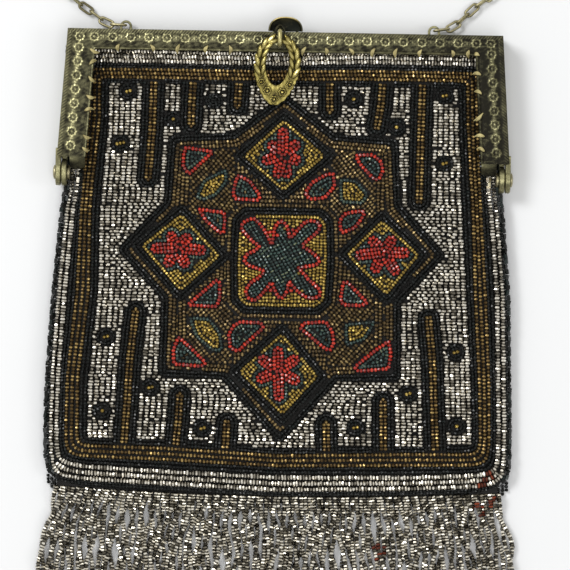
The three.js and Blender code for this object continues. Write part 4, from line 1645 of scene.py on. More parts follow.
@dataclass
class Fringe:
    """The fringe: looped strands whose two legs wind about each other, on a black woven tape."""

    loops: int = 52
    half: float = 75.8
    length: float = 65.0
    start: float = 158.6
    lean: float = 7.8
    rust: tuple[tuple[float, float, float], ...] = (
        (74.3, 160.4, 1.8),
        (70.0, 163.6, 2.4),
        (35.4, 178.6, 2.8),
    )

    def build(self) -> None:
        """Builds the strands, their rusty beads and the tape."""
        chance = np.random.default_rng(31)
        silver = Beads(Bead.SILVER, 301, sides=5, darkest=0.14)
        rusty = Beads(Bead.RUST, 302)
        for i in range(self.loops):
            path = resample(self._loop(-1 + 2 * i / (self.loops - 1), chance), Bead.SILVER.length)
            along = unit(np.gradient(path, axis=0))
            stained = np.zeros(len(path), bool)
            for x, down, radius in self.rust:
                stained |= np.hypot(path[:, 0] - x, TOP - 0.7 - down - path[:, 1]) < radius
            stained &= chance.random(len(path)) < 0.75
            lengths = np.full(len(path), Bead.SILVER.length)
            silver.add(path[~stained], along[~stained], lengths[~stained])
            if stained.any():
                rusty.add(path[stained], along[stained], lengths[stained])
        strands = silver.skin(Skin()).make("fringe_strands", FRINGE_STEEL.look(), smooth=0)
        spots = rusty.skin(Skin()).make("fringe_rusty_beads", GLASS[Bead.RUST].look(), smooth=0)
        for piece in (strands, spots, self._tape()):
            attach(piece, "purse")
            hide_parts("fringe")

    def _loop(self, share: float, chance: np.random.Generator) -> Array:
        """One looped strand.

        The middle line leans outwards and sways as a sum of sine waves that pass from strand to
        strand. The legs wind about it: they lie at the cosine of a slowly growing angle to either
        side and at its sine above and below. At the foot they join in a bend.

        Args:
            share: Its place across, from minus one to one.
            chance: The source of its own irregularity.

        Returns:
            The points of the strand, down one leg and up the other.
        """
        t = np.linspace(0, 1, 80)
        phase, other = chance.uniform(0, 2 * pi, 2)
        ease = np.minimum(1, t * 6)
        middle = share * self.half + share * self.lean * (1 - np.exp(-2.6 * t)) + chance.normal(0, 0.3) * t
        middle += ease * 0.9 * np.sin(8 * t + 11 * share) + ease * 0.35 * np.sin(17 * t + phase)
        wind, turns = chance.normal(0, 0.35), chance.uniform(9, 20)
        wind = wind + turns * np.maximum(t - 0.03, 0) * np.sign(chance.normal())
        apart = 0.98 + 0.28 * np.sin(13 * t + other) * ease
        foot = np.sqrt(np.clip(1 - ((t - 0.955) / 0.045).clip(0) ** 2, 0, 1))
        y = TOP - self.start - 2.4 * (1 - share**2) - t * (self.length + chance.normal(0, 1.0))
        settle = 1.93 + 1.7 * np.exp(-t * 16)
        side, high = apart * np.cos(wind) * foot, 0.96 * np.sin(wind)
        down = np.stack([middle + side, y, settle + high], axis=1)
        up = np.stack([middle - side, y, settle - high], axis=1)
        return np.concatenate([down, up[::-1]])

    def _tape(self) -> bpy.types.Object:
        """The woven tape that heads the fringe: a flat oval carried along the bag's lower edge.

        Returns:
            The tape's object.
        """
        share = np.linspace(-1, 1, 60)
        path = np.stack([share * 76.5, TOP - 158.3 - 2.5 * (1 - share**2), 2.2 + 0 * share], axis=1)
        surface = tube_surface(path, 1.0, 10)
        surface = path[:, None] + (surface - path[:, None]) * (1, 2.3, 1.5)
        skin = Skin()
        skin.solid(surface)
        return skin.make("fringe_tape", Cloth("fringe_tape_weave").look(), 60)


@dataclass(frozen=True)
class Stamping:
    """The front jaw's stamped ornament as a height over its face."""

    height: float = 0.42
    rim_top: float = 1.5
    rim_side: float = 1.7
    lip: float = 0.8
    hatch: float = 1.05
    edge: float = 9.0
    bar_row: float = 2.8
    bar_count: int = 22
    arm_row: float = 4.4
    arm_count: int = 8

    def places(self) -> Array:
        """The middles of the rosettes: one row on the bar and one on each arm, as across and depth.

        Returns:
            Across and depth of each.
        """
        reach = OUTER - 9.2
        count = self.bar_count
        bar = np.stack([np.linspace(-reach, reach, count), np.full(count, self.bar_row)], axis=1)
        depth = np.linspace(6.6, ARM - 3.8, self.arm_count)
        arm = np.stack([outer_x(depth) - self.arm_row, depth], axis=1)
        corner = np.array([(outer_x(self.bar_row) - self.arm_row, self.bar_row)])
        return np.concatenate([bar, arm, arm * (-1, 1), corner, corner * (-1, 1)])

    def relief(self, x: Array, depth: Array) -> tuple[Array, Array]:
        """The ornament's height and patina shade.

        Rosettes are scalloped rings round a bud, with small pointed leaves between them. The rim
        carries slanting hatching, the lip is a plain bead, and fine stippling covers the ground. The
        shade follows the heights, as patina in the hollows and wear on the raised parts, varied in
        patches, and is darkened towards the right.

        Args:
            x: Places across.
            depth: Places below the top edge.

        Returns:
            Heights in millimetres, and shades from dark to bright.
        """
        side = outer_x(depth) - np.abs(x)
        edge = np.minimum(depth, side * self.rim_top / self.rim_side)
        along = np.where(depth < side, x, depth)
        rim = below(edge - self.rim_top, self.edge)
        hatch = 0.5 + 0.5 * np.sin(2 * pi * (along + edge * 0.9) / self.hatch)
        inner = np.where(side < ARM_WIDTH, ARM_WIDTH - side, 99)
        inner = np.where(depth < BAR, BAR - depth, inner)
        inner = np.where((depth < BAR) & (side < ARM_WIDTH), np.hypot(BAR - depth, ARM_WIDTH - side), inner)
        lip = below(inner - self.lip, self.edge)
        groove = bump(inner - self.lip - 0.55, 0.25)
        rosettes, leaves = self._rosettes(x, depth)
        line = bump(edge - self.rim_top - 2.35, 0.2) * 0.3 * (1 - rosettes)
        stipple = 0.5 + 0.5 * np.sin(x * 9.1) * np.sin(depth * 9.7)
        body = np.maximum(rosettes, 0.6 * leaves) + line + 0.1 * stipple * (edge > 1.6)
        plain = (1 - rim) * (1 - lip)
        height = np.maximum.reduce([rim * (0.5 + 0.4 * hatch), lip * 0.9, body * plain])
        wear_and_painted_highlight = 0.5 + 0.5 * np.sin(x * 1.9 + 2 * np.sin(depth * 1.3)) * np.sin(depth * 2.3 + np.sin(x * 0.9))
        shade = 0.05 + plain * (0.74 * rosettes + 0.62 * leaves + 0.6 * line + 0.44 * stipple * wear_and_painted_highlight)
        shade += rim * (0.04 + 0.42 * hatch) + (0.2 + 0.3 * wear_and_painted_highlight) * lip
        # The shade is darkened towards the right, past about 45 mm across.
        bright_to, fade = 45, 11
        right_side_darkening = below((bright_to - x) / fade)
        shade = shade * (1 - 0.22 * right_side_darkening) - 0.13 * right_side_darkening
        return self.height * (height - 0.3 * groove), shade

    def _rosettes(self, x: Array, depth: Array) -> tuple[Array, Array]:
        """The rosettes and the leaves between them.

        A rosette is a ring that waves eight times round a bud. A leaf is a pointed hill with a small
        hill at each of its four corners, turned along its row.

        Args:
            x: Places across.
            depth: Places below the top edge.

        Returns:
            Both as shares of the full height.
        """
        rosettes, leaves = np.zeros_like(x), np.zeros_like(x)
        places = self.places()
        for across, down in places:
            near = (np.abs(x - across) < 3) & (np.abs(depth - down) < 3)
            dx, dy = x[near] - across, depth[near] - down
            r, turn = np.hypot(dx, dy), np.arctan2(dy, dx)
            ring = bump(r - 1.4 - 0.16 * np.cos(8 * turn), 0.36)
            rosettes[near] = np.maximum(rosettes[near], np.maximum(ring, 0.85 * bump(r, 0.42)))
        bar, arm = np.split(places[: self.bar_count + self.arm_count], [self.bar_count])
        bar, arm = ((row[:-1] + row[1:]) / 2 for row in (bar, arm))
        middles = np.concatenate([bar, arm, arm * (-1, 1)])
        for i, (across, down) in enumerate(middles):
            near = (np.abs(x - across) < 2) & (np.abs(depth - down) < 2)
            dx, dy = x[near] - across, depth[near] - down
            if i >= len(bar):
                dx, dy = dy, dx
            tips = bump(np.hypot(np.abs(dx) - 0.75, np.abs(dy) - 0.5), 0.3)
            leaf = bump(np.hypot(dx / 0.3, dy / 0.8), 1.0) + 0.8 * tips
            leaves[near] = np.maximum(leaves[near], np.minimum(leaf, 1))
        return rosettes, leaves


@dataclass
class Jaws:
    """Both jaws and the rivets: U-shaped plates with walls, hinge lobes, tabs, lever lugs and ears."""

    stamping: Stamping = field(default_factory=Stamping)
    hinge_y: float = TOP - ARM - 5.3
    hinge_z: float = 6.0
    front_lobe: float = 76.9
    back_lobe: float = 74.85
    lobe: float = 1.75
    lobe_radius: float = 4.6
    gap: float = 0.15
    depth: float = 3.9
    fillet: float = 0.5

    def build(self) -> None:
        """Builds both jaws and the rivets."""
        dark, mid, bright = (0.009, 0.0082, 0.005), (0.125, 0.118, 0.062), (0.58, 0.545, 0.29)
        brass = OldBrass("antique_brass_patina", dark, mid, bright)
        front, back = Skin(), Skin()
        self._face(front)
        self._plate(back)
        self._wall(front, self.hinge_z + self.gap, FRONT_FACE - 0.02)
        self._wall(back, 0.02, self.hinge_z - self.gap)
        self._hinges(front, back)
        self._lugs(front)
        for x in EARS:
            self._ear(back, x)
        self._fit(front.make("front_jaw", brass.look()), "frame_front")
        self._fit(back.make("back_jaw", brass.look()), "frame_back")
        rivet = OldBrass("rivet_brass", (0.03, 0.027, 0.016), (0.2, 0.18, 0.1), (0.5, 0.45, 0.27))
        for side, name in ((-1, "left"), (1, "right")):
            self._fit(self._rivet(side).make(f"rivet_{name}", rivet.look()), f"hinge_pin_{name}")

    @staticmethod
    def _fit(piece: bpy.types.Object, node: str) -> None:
        """Joins a piece to the purse's body in place of a plain node."""
        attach(piece, "purse")
        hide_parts(node)

    def _strips(self, step: float) -> list[tuple[Array, Array]]:
        """The jaw's U as three grids.

        Args:
            step: The spacing of their points.

        Returns:
            Across and depth of the bar's points, then of each arm's.
        """
        rows = int(BAR / step) + 1
        depth = np.linspace(0, BAR, rows)[:, None]
        share = np.linspace(-1, 1, int(2 * (OUTER - ARM_WIDTH) / step) + 1)[None]
        bar = (share * (outer_x(depth) - ARM_WIDTH), depth + 0 * share)
        depth = np.linspace(0, ARM, int(ARM / step) + 1)[:, None]
        inset = np.linspace(0, ARM_WIDTH, int(ARM_WIDTH / step) + 1)[None]
        x = outer_x(depth) - inset
        return [bar, (x, depth + 0 * inset), (-x, depth + 0 * inset)]

    def _slab(self, skin: Skin, x: Array, depth: Array) -> None:
        """A closed slab under the stamped surface: its four edges go down to a flat underside.

        Args:
            skin: The skin to add to.
            x: Its points' places across.
            depth: Their places below the top edge.
        """
        height, shade = self.stamping.relief(x, depth)
        bottom = FRONT_FACE - SHEET
        upper = np.stack([x, TOP - depth, FRONT_FACE + height], axis=-1)
        if x[0, -1] > x[0, 0]:
            upper, shade = upper[:, ::-1], shade[:, ::-1]
        skin.grid(upper, shade=shade)
        rim = edge_loop(upper)
        foot = rim * (1, 1, 0) + (0, 0, bottom)
        skin.grid(np.stack([rim, foot]), around=True, shade=0.5)
        lower = upper[::-1].copy()
        lower[..., 2] = bottom
        skin.grid(lower[:: len(lower) - 1, :: lower.shape[1] - 1], shade=0.5)

    def _face(self, skin: Skin) -> None:
        """The front jaw's plate with its stamped relief."""
        for x, depth in self._strips(0.27):
            self._slab(skin, x, depth)

    def _plate(self, skin: Skin) -> None:
        """The back jaw's plain plate, its outside facing down."""
        for x, depth in self._strips(2.0):
            y = TOP - depth
            for z, turn in ((0.0, False), (SHEET, True)):
                face = np.stack([x, y, z + 0 * x], axis=-1)
                skin.grid(face if (x[0, -1] > x[0, 0]) != turn else face[:, ::-1], shade=0.5)
            line = np.stack([x, y], axis=-1)
            rim = edge_loop(line)
            if x[0, -1] > x[0, 0]:
                rim = rim[::-1]
            ring = np.stack([np.column_stack([rim, np.full(len(rim), z)]) for z in (0.0, SHEET)])
            skin.grid(ring, around=True, shade=0.55)

    def _wall(self, skin: Skin, low: float, high: float) -> None:
        """The wall along the outer edge: a rounded strip carried round the U.

        Args:
            skin: The skin to add to.
            low: The wall's foot.
            high: The wall's head.
        """
        depth = np.linspace(ARM, 0.7, 18)
        right = np.stack([outer_x(depth) - SHEET / 2, TOP - depth], axis=1)
        turn, middle = np.linspace(0, pi / 2, 6), SHEET / 2 + self.fillet
        bend = self.fillet * np.stack([np.cos(turn), np.sin(turn)], axis=1)
        corner = np.array([OUTER - middle, TOP - middle]) + bend
        top = np.stack([np.linspace(OUTER - 2, 0, 20), np.full(20, TOP - SHEET / 2)], axis=1)
        half = np.concatenate([right[:-1], corner, top])
        line = np.concatenate([half, (half * (-1, 1))[::-1][1:]])
        run = unit(np.gradient(line, axis=0))
        out = np.stack([run[:, 1], -run[:, 0]], axis=1)
        ease, half = 0.15, SHEET / 2
        section = [(-half, low), (half - ease, low), (half, low + ease)]
        section += [(half, high - ease), (half - ease, high), (-half, high)]
        rows = [np.column_stack([line + out * across, np.full(len(line), z)]) for across, z in section]
        shade = np.repeat([0.25, 0.35, 0.45, 0.5, 0.45, 0.3], len(line)).reshape(6, -1)
        skin.solid(np.stack(rows, axis=1), shade.T.ravel())

    def _hinges(self, front: Skin, back: Skin) -> None:
        """The riveted lobes and their necks, and the tabs turned down beside the front ones."""
        for side in (-1, 1):
            for skin, start, low, high in (
                (front, self.front_lobe, self.hinge_z + 2 * self.gap, self.hinge_z + self.depth),
                (back, self.back_lobe, self.hinge_z - self.depth, self.hinge_z - 2 * self.gap),
            ):
                ends = sorted((side * start, side * (start + self.lobe)))
                radius, ease = self.lobe_radius, 0.25
                profile = [(ends[0], 0.01), (ends[0], radius - ease), (ends[0] + ease, radius)]
                profile += [(ends[1] - ease, radius), (ends[1], radius - ease), (ends[1], 0.01)]
                disc = turned_surface(np.array(profile), 36) + (0, self.hinge_y, self.hinge_z)
                skin.solid(disc[:, ::-1], 0.6)
                neck = box_surface((ends[0], self.hinge_y, low), (ends[1], TOP - ARM + 3, high))
                skin.solid(neck, 0.5)
            wall = outer_x(ARM) - SHEET
            span = sorted((side * self.back_lobe, side * (wall + 0.3)))
            low = (span[0], TOP - ARM + 0.4, self.hinge_z - self.depth)
            block = box_surface(low, (span[1], TOP - ARM + 3, self.hinge_z - 2 * self.gap))
            back.solid(block, 0.5)
            self._tab(front, side)

    def _tab(self, skin: Skin, side: int) -> None:
        """The tab that rolls down from the front plate's end beside the hinge: a strip bent over.

        Args:
            skin: The skin to add to.
            side: Minus one for the left tab, one for the right.
        """
        end = TOP - ARM
        t = np.linspace(0, 1, 9)[:, None]
        across = np.linspace(0, 1, 7)[None]
        x = side * (outer_x(ARM) - 4.4 - 5.2 * across) + 0 * t
        y = end + 0.9 - 5.2 * t + 0.9 * t * (2 * across - 1) ** 2
        z = FRONT_FACE + 0.05 - 2.7 * t**1.6 + 0 * across
        upper = np.stack([x, y, z], axis=-1)
        if side > 0:
            upper = upper[:, ::-1]
        upper = upper[::-1]
        thick = (0, 0, 0.85)
        lower = upper - thick
        rim = edge_loop(upper)
        # Painted highlight: a light patch across the bend of the tab, fading across its width.
        wear_and_painted_highlight = bump(t[::-1] - 0.35, 0.22) * (1 - np.linspace(0.1, 1, 7))
        shade = 0.12 + 0.5 * wear_and_painted_highlight
        skin.grid(upper, shade=shade)
        skin.grid(lower[:, ::-1], shade=0.2)
        skin.grid(np.stack([rim, rim - thick]), around=True, shade=0.45)

    def _lugs(self, skin: Skin) -> None:
        """The two lugs and the axle that hold the thumb lever.

        Args:
            skin: The skin to add to.
        """
        for start in (-4.5, 3.5):
            lug = box_surface((start, TOP - 0.2, 7.2), (start + 1, TOP + 2.85, 9.2))
            skin.solid(lug, 0.5)
        axle = turned_surface(np.array([(-4.1, 0.55), (4.1, 0.55)]), 16) + (0, TOP + 1.85, 8.2)
        skin.solid(axle[:, ::-1], 0.6)

    def _ear(self, skin: Skin, x: float) -> None:
        """A wire arch on the top edge that holds the chain's end: a half circle on two legs.

        Args:
            skin: The skin to add to.
            x: Its middle.
        """
        turn = np.linspace(0, pi, 15)
        arch = EAR_HALF * np.stack([np.cos(turn), np.sin(turn), 0 * turn], axis=1) + (x, EAR_Y, EAR_Z)
        feet = np.array([(x + EAR_HALF, TOP - 0.4, EAR_Z), (x - EAR_HALF, TOP - 0.4, EAR_Z)])
        path = np.concatenate([feet[:1], arch, feet[1:]])
        skin.solid(tube_surface(path, 0.45, 10), 0.6)

    def _rivet(self, side: int) -> Skin:
        """A rivet through one hinge: a shank with a domed head at each end.

        Args:
            side: Minus one for the left hinge, one for the right.

        Returns:
            The rivet's skin.
        """
        inner = self.back_lobe - 0.3 - 0.8
        outer = self.front_lobe + self.lobe + 0.3
        profile = [
            (inner, 0.01), (inner, 2.2), (inner + 0.3, 2.5), (inner + 0.8, 2.5), (inner + 0.8, 1.2),
            (outer, 1.2), (outer, 2.5), (outer + 0.3, 2.4), (outer + 0.65, 1.6), (outer + 0.8, 0.01),
        ]
        rows = np.array(profile) * (side, 1)
        if side < 0:
            rows = rows[::-1]
        skin = Skin()
        surface = turned_surface(rows, 28) + (0, self.hinge_y, self.hinge_z)
        skin.solid(surface[:, ::-1], 0.65)
        return skin


@dataclass
class Clasp:
    """The thumb lever with its dished half-round cup, barrel and eye, and the jump ring."""

    axle_y: float = TOP + 1.85
    height: float = 8.2
    eye_x: float = -1.9
    eye_y: float = TOP + 0.15
    ring_z: float = 15.1
    ring_length: float = 6.5
    ring_wire: float = 1.6
    flatten: float = 0.84
    square: float = 0.85
    cup: Outline = (
        (0.0, 0.0), (3.4, 0.65), (5.6, 1.3), (5.95, 1.75), (5.95, 2.2), (5.75, 2.5),
        (5.5, 2.55), (5.25, 2.3), (5.05, 1.9), (3.9, 1.4), (1.8, 0.9), (0.0, 0.72),
    )
    eye: Outline = (
        (1.1, -0.35), (1.1, 0.35), (1.25, 0.5), (1.75, 0.5),
        (1.9, 0.35), (1.9, -0.35), (1.75, -0.5), (1.25, -0.5),
    )

    @property
    def ring_y(self) -> float:
        """The middle of the jump ring."""
        return self.eye_y - (self.ring_length - self.ring_wire) / 2

    def build(self) -> None:
        """Builds the lever and the jump ring."""
        dark = OldBrass("thumb_lever_brass", (0.007, 0.008, 0.0055), (0.08, 0.07, 0.03), (0.58, 0.46, 0.18))
        bright = OldBrass("jump_ring_brass", (0.05, 0.042, 0.015), (0.26, 0.23, 0.09), (0.6, 0.54, 0.28))
        place = (self.eye_x, self.ring_y, self.ring_z)
        lever = Skin()
        self._dish(lever)
        barrel = np.array([(-3.2, 0.9), (-3.2, 1.3), (-3.0, 1.5), (3.0, 1.5), (3.2, 1.3), (3.2, 0.9)])
        lever.hoop((turned_surface(barrel, 24) + (0, self.axle_y, self.height))[:, ::-1], 0.35)
        self._eye(lever)
        ring = Skin()
        line = stadium(self.ring_length, 2 * self.ring_wire + 1.6, self.ring_wire, 40)
        wire = closed_wire(line, self.ring_wire, 14)
        ring.hoop(np.roll(wire, 1, axis=-1) + place, 0.6)
        for skin, name, node, look, slot in (
            (lever, "thumb_lever", "clasp_lever", dark, "dark_brass"),
            (ring, "jump_ring", "clasp_bail", bright, "bright_brass"),
        ):
            piece = skin.make(name, look.look())
            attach(piece, "clasp")
            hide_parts(node)

    def _dish(self, skin: Skin) -> None:
        """The half cup: a profile of floor, rim and outside swept through half a turn from side to side.

        Args:
            skin: The skin to add to.
        """
        low = self.height + 1.5 - 0.7
        profile = np.array(self.cup) + (0, low)
        turn = np.linspace(0, pi, 33)
        x = profile[None, :, 0] * (np.sign(np.cos(turn)) * np.abs(np.cos(turn)) ** self.square)[:, None]
        y = TOP + 0.3 + self.flatten * profile[None, :, 0] * (np.abs(np.sin(turn)) ** self.square)[:, None]
        surface = np.stack([x, y, profile[None, :, 1] + 0 * x], axis=-1)
        # Painted reflection: the outside and the rim are lighter, brightest along the top of the half turn
        # and fading to the sides, and the inside of the cup is dark.
        wear_and_painted_highlight = np.array([0.2, 0.3, 0.55, 0.85, 0.95, 1.0, 0.95, 0.75, 0.2, 0.02, 0.05, 0.15])
        shade = wear_and_painted_highlight[None, ::-1] * (0.25 + 0.75 * np.sin(turn) ** 2)[:, None]
        skin.solid(surface[:, ::-1], shade)

    def _eye(self, skin: Skin) -> None:
        """The eye in front of the rim and the strap that carries it from the cup.

        Args:
            skin: The skin to add to.
        """
        turn = np.linspace(0, 2 * pi, 28, endpoint=False)
        radius, z = np.array(self.eye).T[..., None]
        x, y = self.eye_x + radius * np.cos(turn), self.eye_y + radius * np.sin(turn)
        skin.hoop(np.stack([x, y, self.ring_z + z + 0 * turn], axis=-1), 0.08)
        base, half = self.eye_y + 1.2, 0.8
        low = (self.eye_x - half, base, self.height + 1.5)
        skin.solid(box_surface(low, (self.eye_x + half, base + 0.8, self.ring_z + 0.5)), 0.1)


@dataclass
class Wreath:
    """The laurel wreath drop: a pierced plate with two rows of leaves a side and five small flowers."""

    clasp: Clasp = field(default_factory=Clasp)
    half: float = 8.25
    length: float = 23.2
    shoulder: float = 10.2
    open_half: float = 3.95
    open_length: float = 15.0
    rail: float = 1.2
    plate: float = 0.9
    tilt: float = 8.6
    lean: float = 4.5
    flowers: tuple[tuple[float, float, float], ...] = (
        (-4.9, 15.6, 1.3),
        (-2.6, 18.4, 1.5),
        (0, 21.2, 1.4),
        (2.6, 18.4, 1.5),
        (4.9, 15.6, 1.3),
    )

    def build(self) -> None:
        """Builds the wreath in its own plane and hangs it from the jump ring."""
        skin = Skin()
        self._plate(skin)
        self._leaves(skin)
        self._flowers(skin)
        skin.points = [self._hang(points) for points in skin.points]
        dark, mid, bright = (0.018, 0.014, 0.004), (0.2, 0.165, 0.044), (0.66, 0.57, 0.22)
        brass = OldBrass("wreath_yellow_brass", dark, mid, bright, (0.2, 0.42))
        piece = skin.make("laurel_wreath", brass.look(), 50)
        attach(piece, "clasp")
        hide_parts("wreath_drop")

    def _hang(self, points: Array) -> Array:
        """Hangs the wreath from the ring: leant sideways, tilted forward and moved there.

        Args:
            points: Points in the wreath's own plane.

        Returns:
            The same points as they hang.
        """
        lean, tilt = np.radians(-self.lean), np.radians(self.tilt)
        x, y, z = points[:, 0], points[:, 1], points[:, 2] - self.plate / 2
        x, y = x * np.cos(lean) - y * np.sin(lean), x * np.sin(lean) + y * np.cos(lean)
        y, z = y * np.cos(tilt) - z * np.sin(tilt), y * np.sin(tilt) + z * np.cos(tilt)
        ring = self.clasp
        high = ring.ring_y - ring.ring_length / 2 + ring.ring_wire + 0.3 + self.rail
        return np.stack([x + ring.eye_x, y + high, z + ring.ring_z], axis=1)

    def _outline(self, turn: Array) -> Array:
        """The outer edge: half an ellipse above, and a shield with rounded steps below.

        Args:
            turn: Angles about the opening's middle.

        Returns:
            The edge's distance from that middle at each.
        """
        middle = -self.rail - self.open_length / 2
        upper = np.linspace(0, pi, 30)
        round_x, round_y = self.half * 0.88 * np.cos(upper), -self.shoulder + self.shoulder * np.sin(upper)
        points = np.stack([round_x, round_y], axis=1)
        lower = self.length - self.shoulder
        across = np.array([-0.95, -0.84, -0.66, -0.42, -0.14, 0.14, 0.42, 0.66, 0.84, 0.95])
        down = np.array([0.15, 0.35, 0.62, 0.86, 1, 1, 0.86, 0.62, 0.35, 0.15])
        shield = np.stack([across * self.half, -self.shoulder - down * lower], axis=1)
        points = np.concatenate([points, shield]) - (0, middle)
        angle = np.unwrap(np.arctan2(points[:, 1], points[:, 0]))
        reach = np.hypot(points[:, 0], points[:, 1])
        return np.interp(turn, angle, reach, period=2 * pi)

    def _plate(self, skin: Skin) -> None:
        """The plate between the opening and the outline, domed between them, with a scalloped edge below.

        Args:
            skin: The skin to add to.
        """
        turn = np.linspace(-pi, pi, 121)[:-1]
        middle = -self.rail - self.open_length / 2
        inner = 1 / np.hypot(np.cos(turn) / self.open_half, np.sin(turn) / (self.open_length / 2))
        outer = self._outline(turn) + 0.14 * np.cos(turn * 34) * (np.sin(turn) < 0.2)
        share = np.array([0.0, 0.03, 0.12, 0.3, 0.5, 0.7, 0.88, 0.97, 1.0])
        rise = np.array([0.35, 0.85, 1.0, 0.8, 0.72, 0.8, 1.0, 0.85, 0.35]) * self.plate
        shade = np.array([0.5, 0.8, 0.85, 0.4, 0.25, 0.4, 0.85, 0.8, 0.5])
        reach = inner + (outer - inner) * share[:, None]
        x, y = reach * np.cos(turn), middle + reach * np.sin(turn)
        top = np.stack([x, y, rise[:, None] + 0 * reach], axis=-1)
        bottom = top[[-1, 0]] * (1, 1, 0)
        # Painted shade: the plate's upper part, showing between the leaves, is kept dark, and the lower
        # shield below the opening is lighter, rippling with its scallops.
        low = below(np.sin(turn) + 0.45, 14)
        shade = shade[:, None] * (0.12 + 0.42 * low) + 0.1 * low * np.cos(turn * 34)
        shade = np.concatenate([shade, shade[[-1, 0]]])[::-1]
        skin.hoop(np.concatenate([top, bottom])[::-1], shade)

    def _leaves(self, skin: Skin) -> None:
        """Laurel leaves up both sides: pointed ovals, raised along the rib and creased at its sides.

        Args:
            skin: The skin to add to.
        """
        u = np.linspace(-1, 1, 13)
        v = np.linspace(0, 2 * pi, 13)[:-1]
        wide = (1 - np.abs(u) ** 2.2) ** 0.8
        for side in (-1, 1):
            inner = (self.open_half + 0.95, 8.3, -0.3, 0.86)
            for across, rise, spread, size in ((7.0, 9.2, 0.3, 1.0), inner):
                for angle in np.linspace(-0.3, 1.12, 5):
                    x = side * across * np.cos(angle)
                    y = -self.rail - self.open_length / 2 + rise * np.sin(angle)
                    lx = 1.0 * size * wide[:, None] * np.cos(v)
                    ly = 2.65 * size * u[:, None] + 0 * lx
                    rib = 0.16 * np.exp(-((np.cos(v) / 0.22) ** 2)) * (np.sin(v) > 0)
                    lz = wide[:, None] * (0.72 * np.sin(v) + rib) + self.plate
                    turn = side * (np.arctan2(across * np.sin(angle), rise * np.cos(angle)) - spread)
                    gx, gy = lx * np.cos(turn) - ly * np.sin(turn), lx * np.sin(turn) + ly * np.cos(turn)
                    # Painted highlight on each leaf's raised upper side, brightest where the leaf is widest,
                    # and painted shade at its edges, where the leaves meet.
                    shade = 0.02 + 0.8 * np.sin(v).clip(0) ** 2 * (0.2 + 0.8 * wide[:, None]) + 0 * lx
                    skin.solid(np.stack([gx + x, gy + y, lz], axis=-1), shade)

    def _flowers(self, skin: Skin) -> None:
        """Five small flowers below the opening: domes whose rim follows six petals, dimpled round a bud.

        Args:
            skin: The skin to add to.
        """
        turn = np.linspace(0, 2 * pi, 36, endpoint=False)
        share = np.array([0.02, 0.27, 0.37, 0.52, 0.64, 0.82, 0.95, 1.0, 1.0])
        rise = np.array([0.6, 0.58, 0.3, 0.3, 0.46, 0.46, 0.3, 0.1, -0.4])
        shade = np.array([1.0, 0.95, -0.2, -0.25, 0.3, 0.5, 0.1, -0.2, -0.2])
        petal = 1 + 0.13 * np.cos(6 * turn)
        for across, down, size in self.flowers:
            reach = size * share[:, None] * petal
            x = across + reach * np.cos(turn)
            y = -down + reach * np.sin(turn)
            z = self.plate + rise[:, None] * (0.85 + 0.15 * np.cos(6 * turn))
            skin.solid(np.stack([x, y, z], axis=-1)[::-1], np.repeat(shade[::-1], 36))


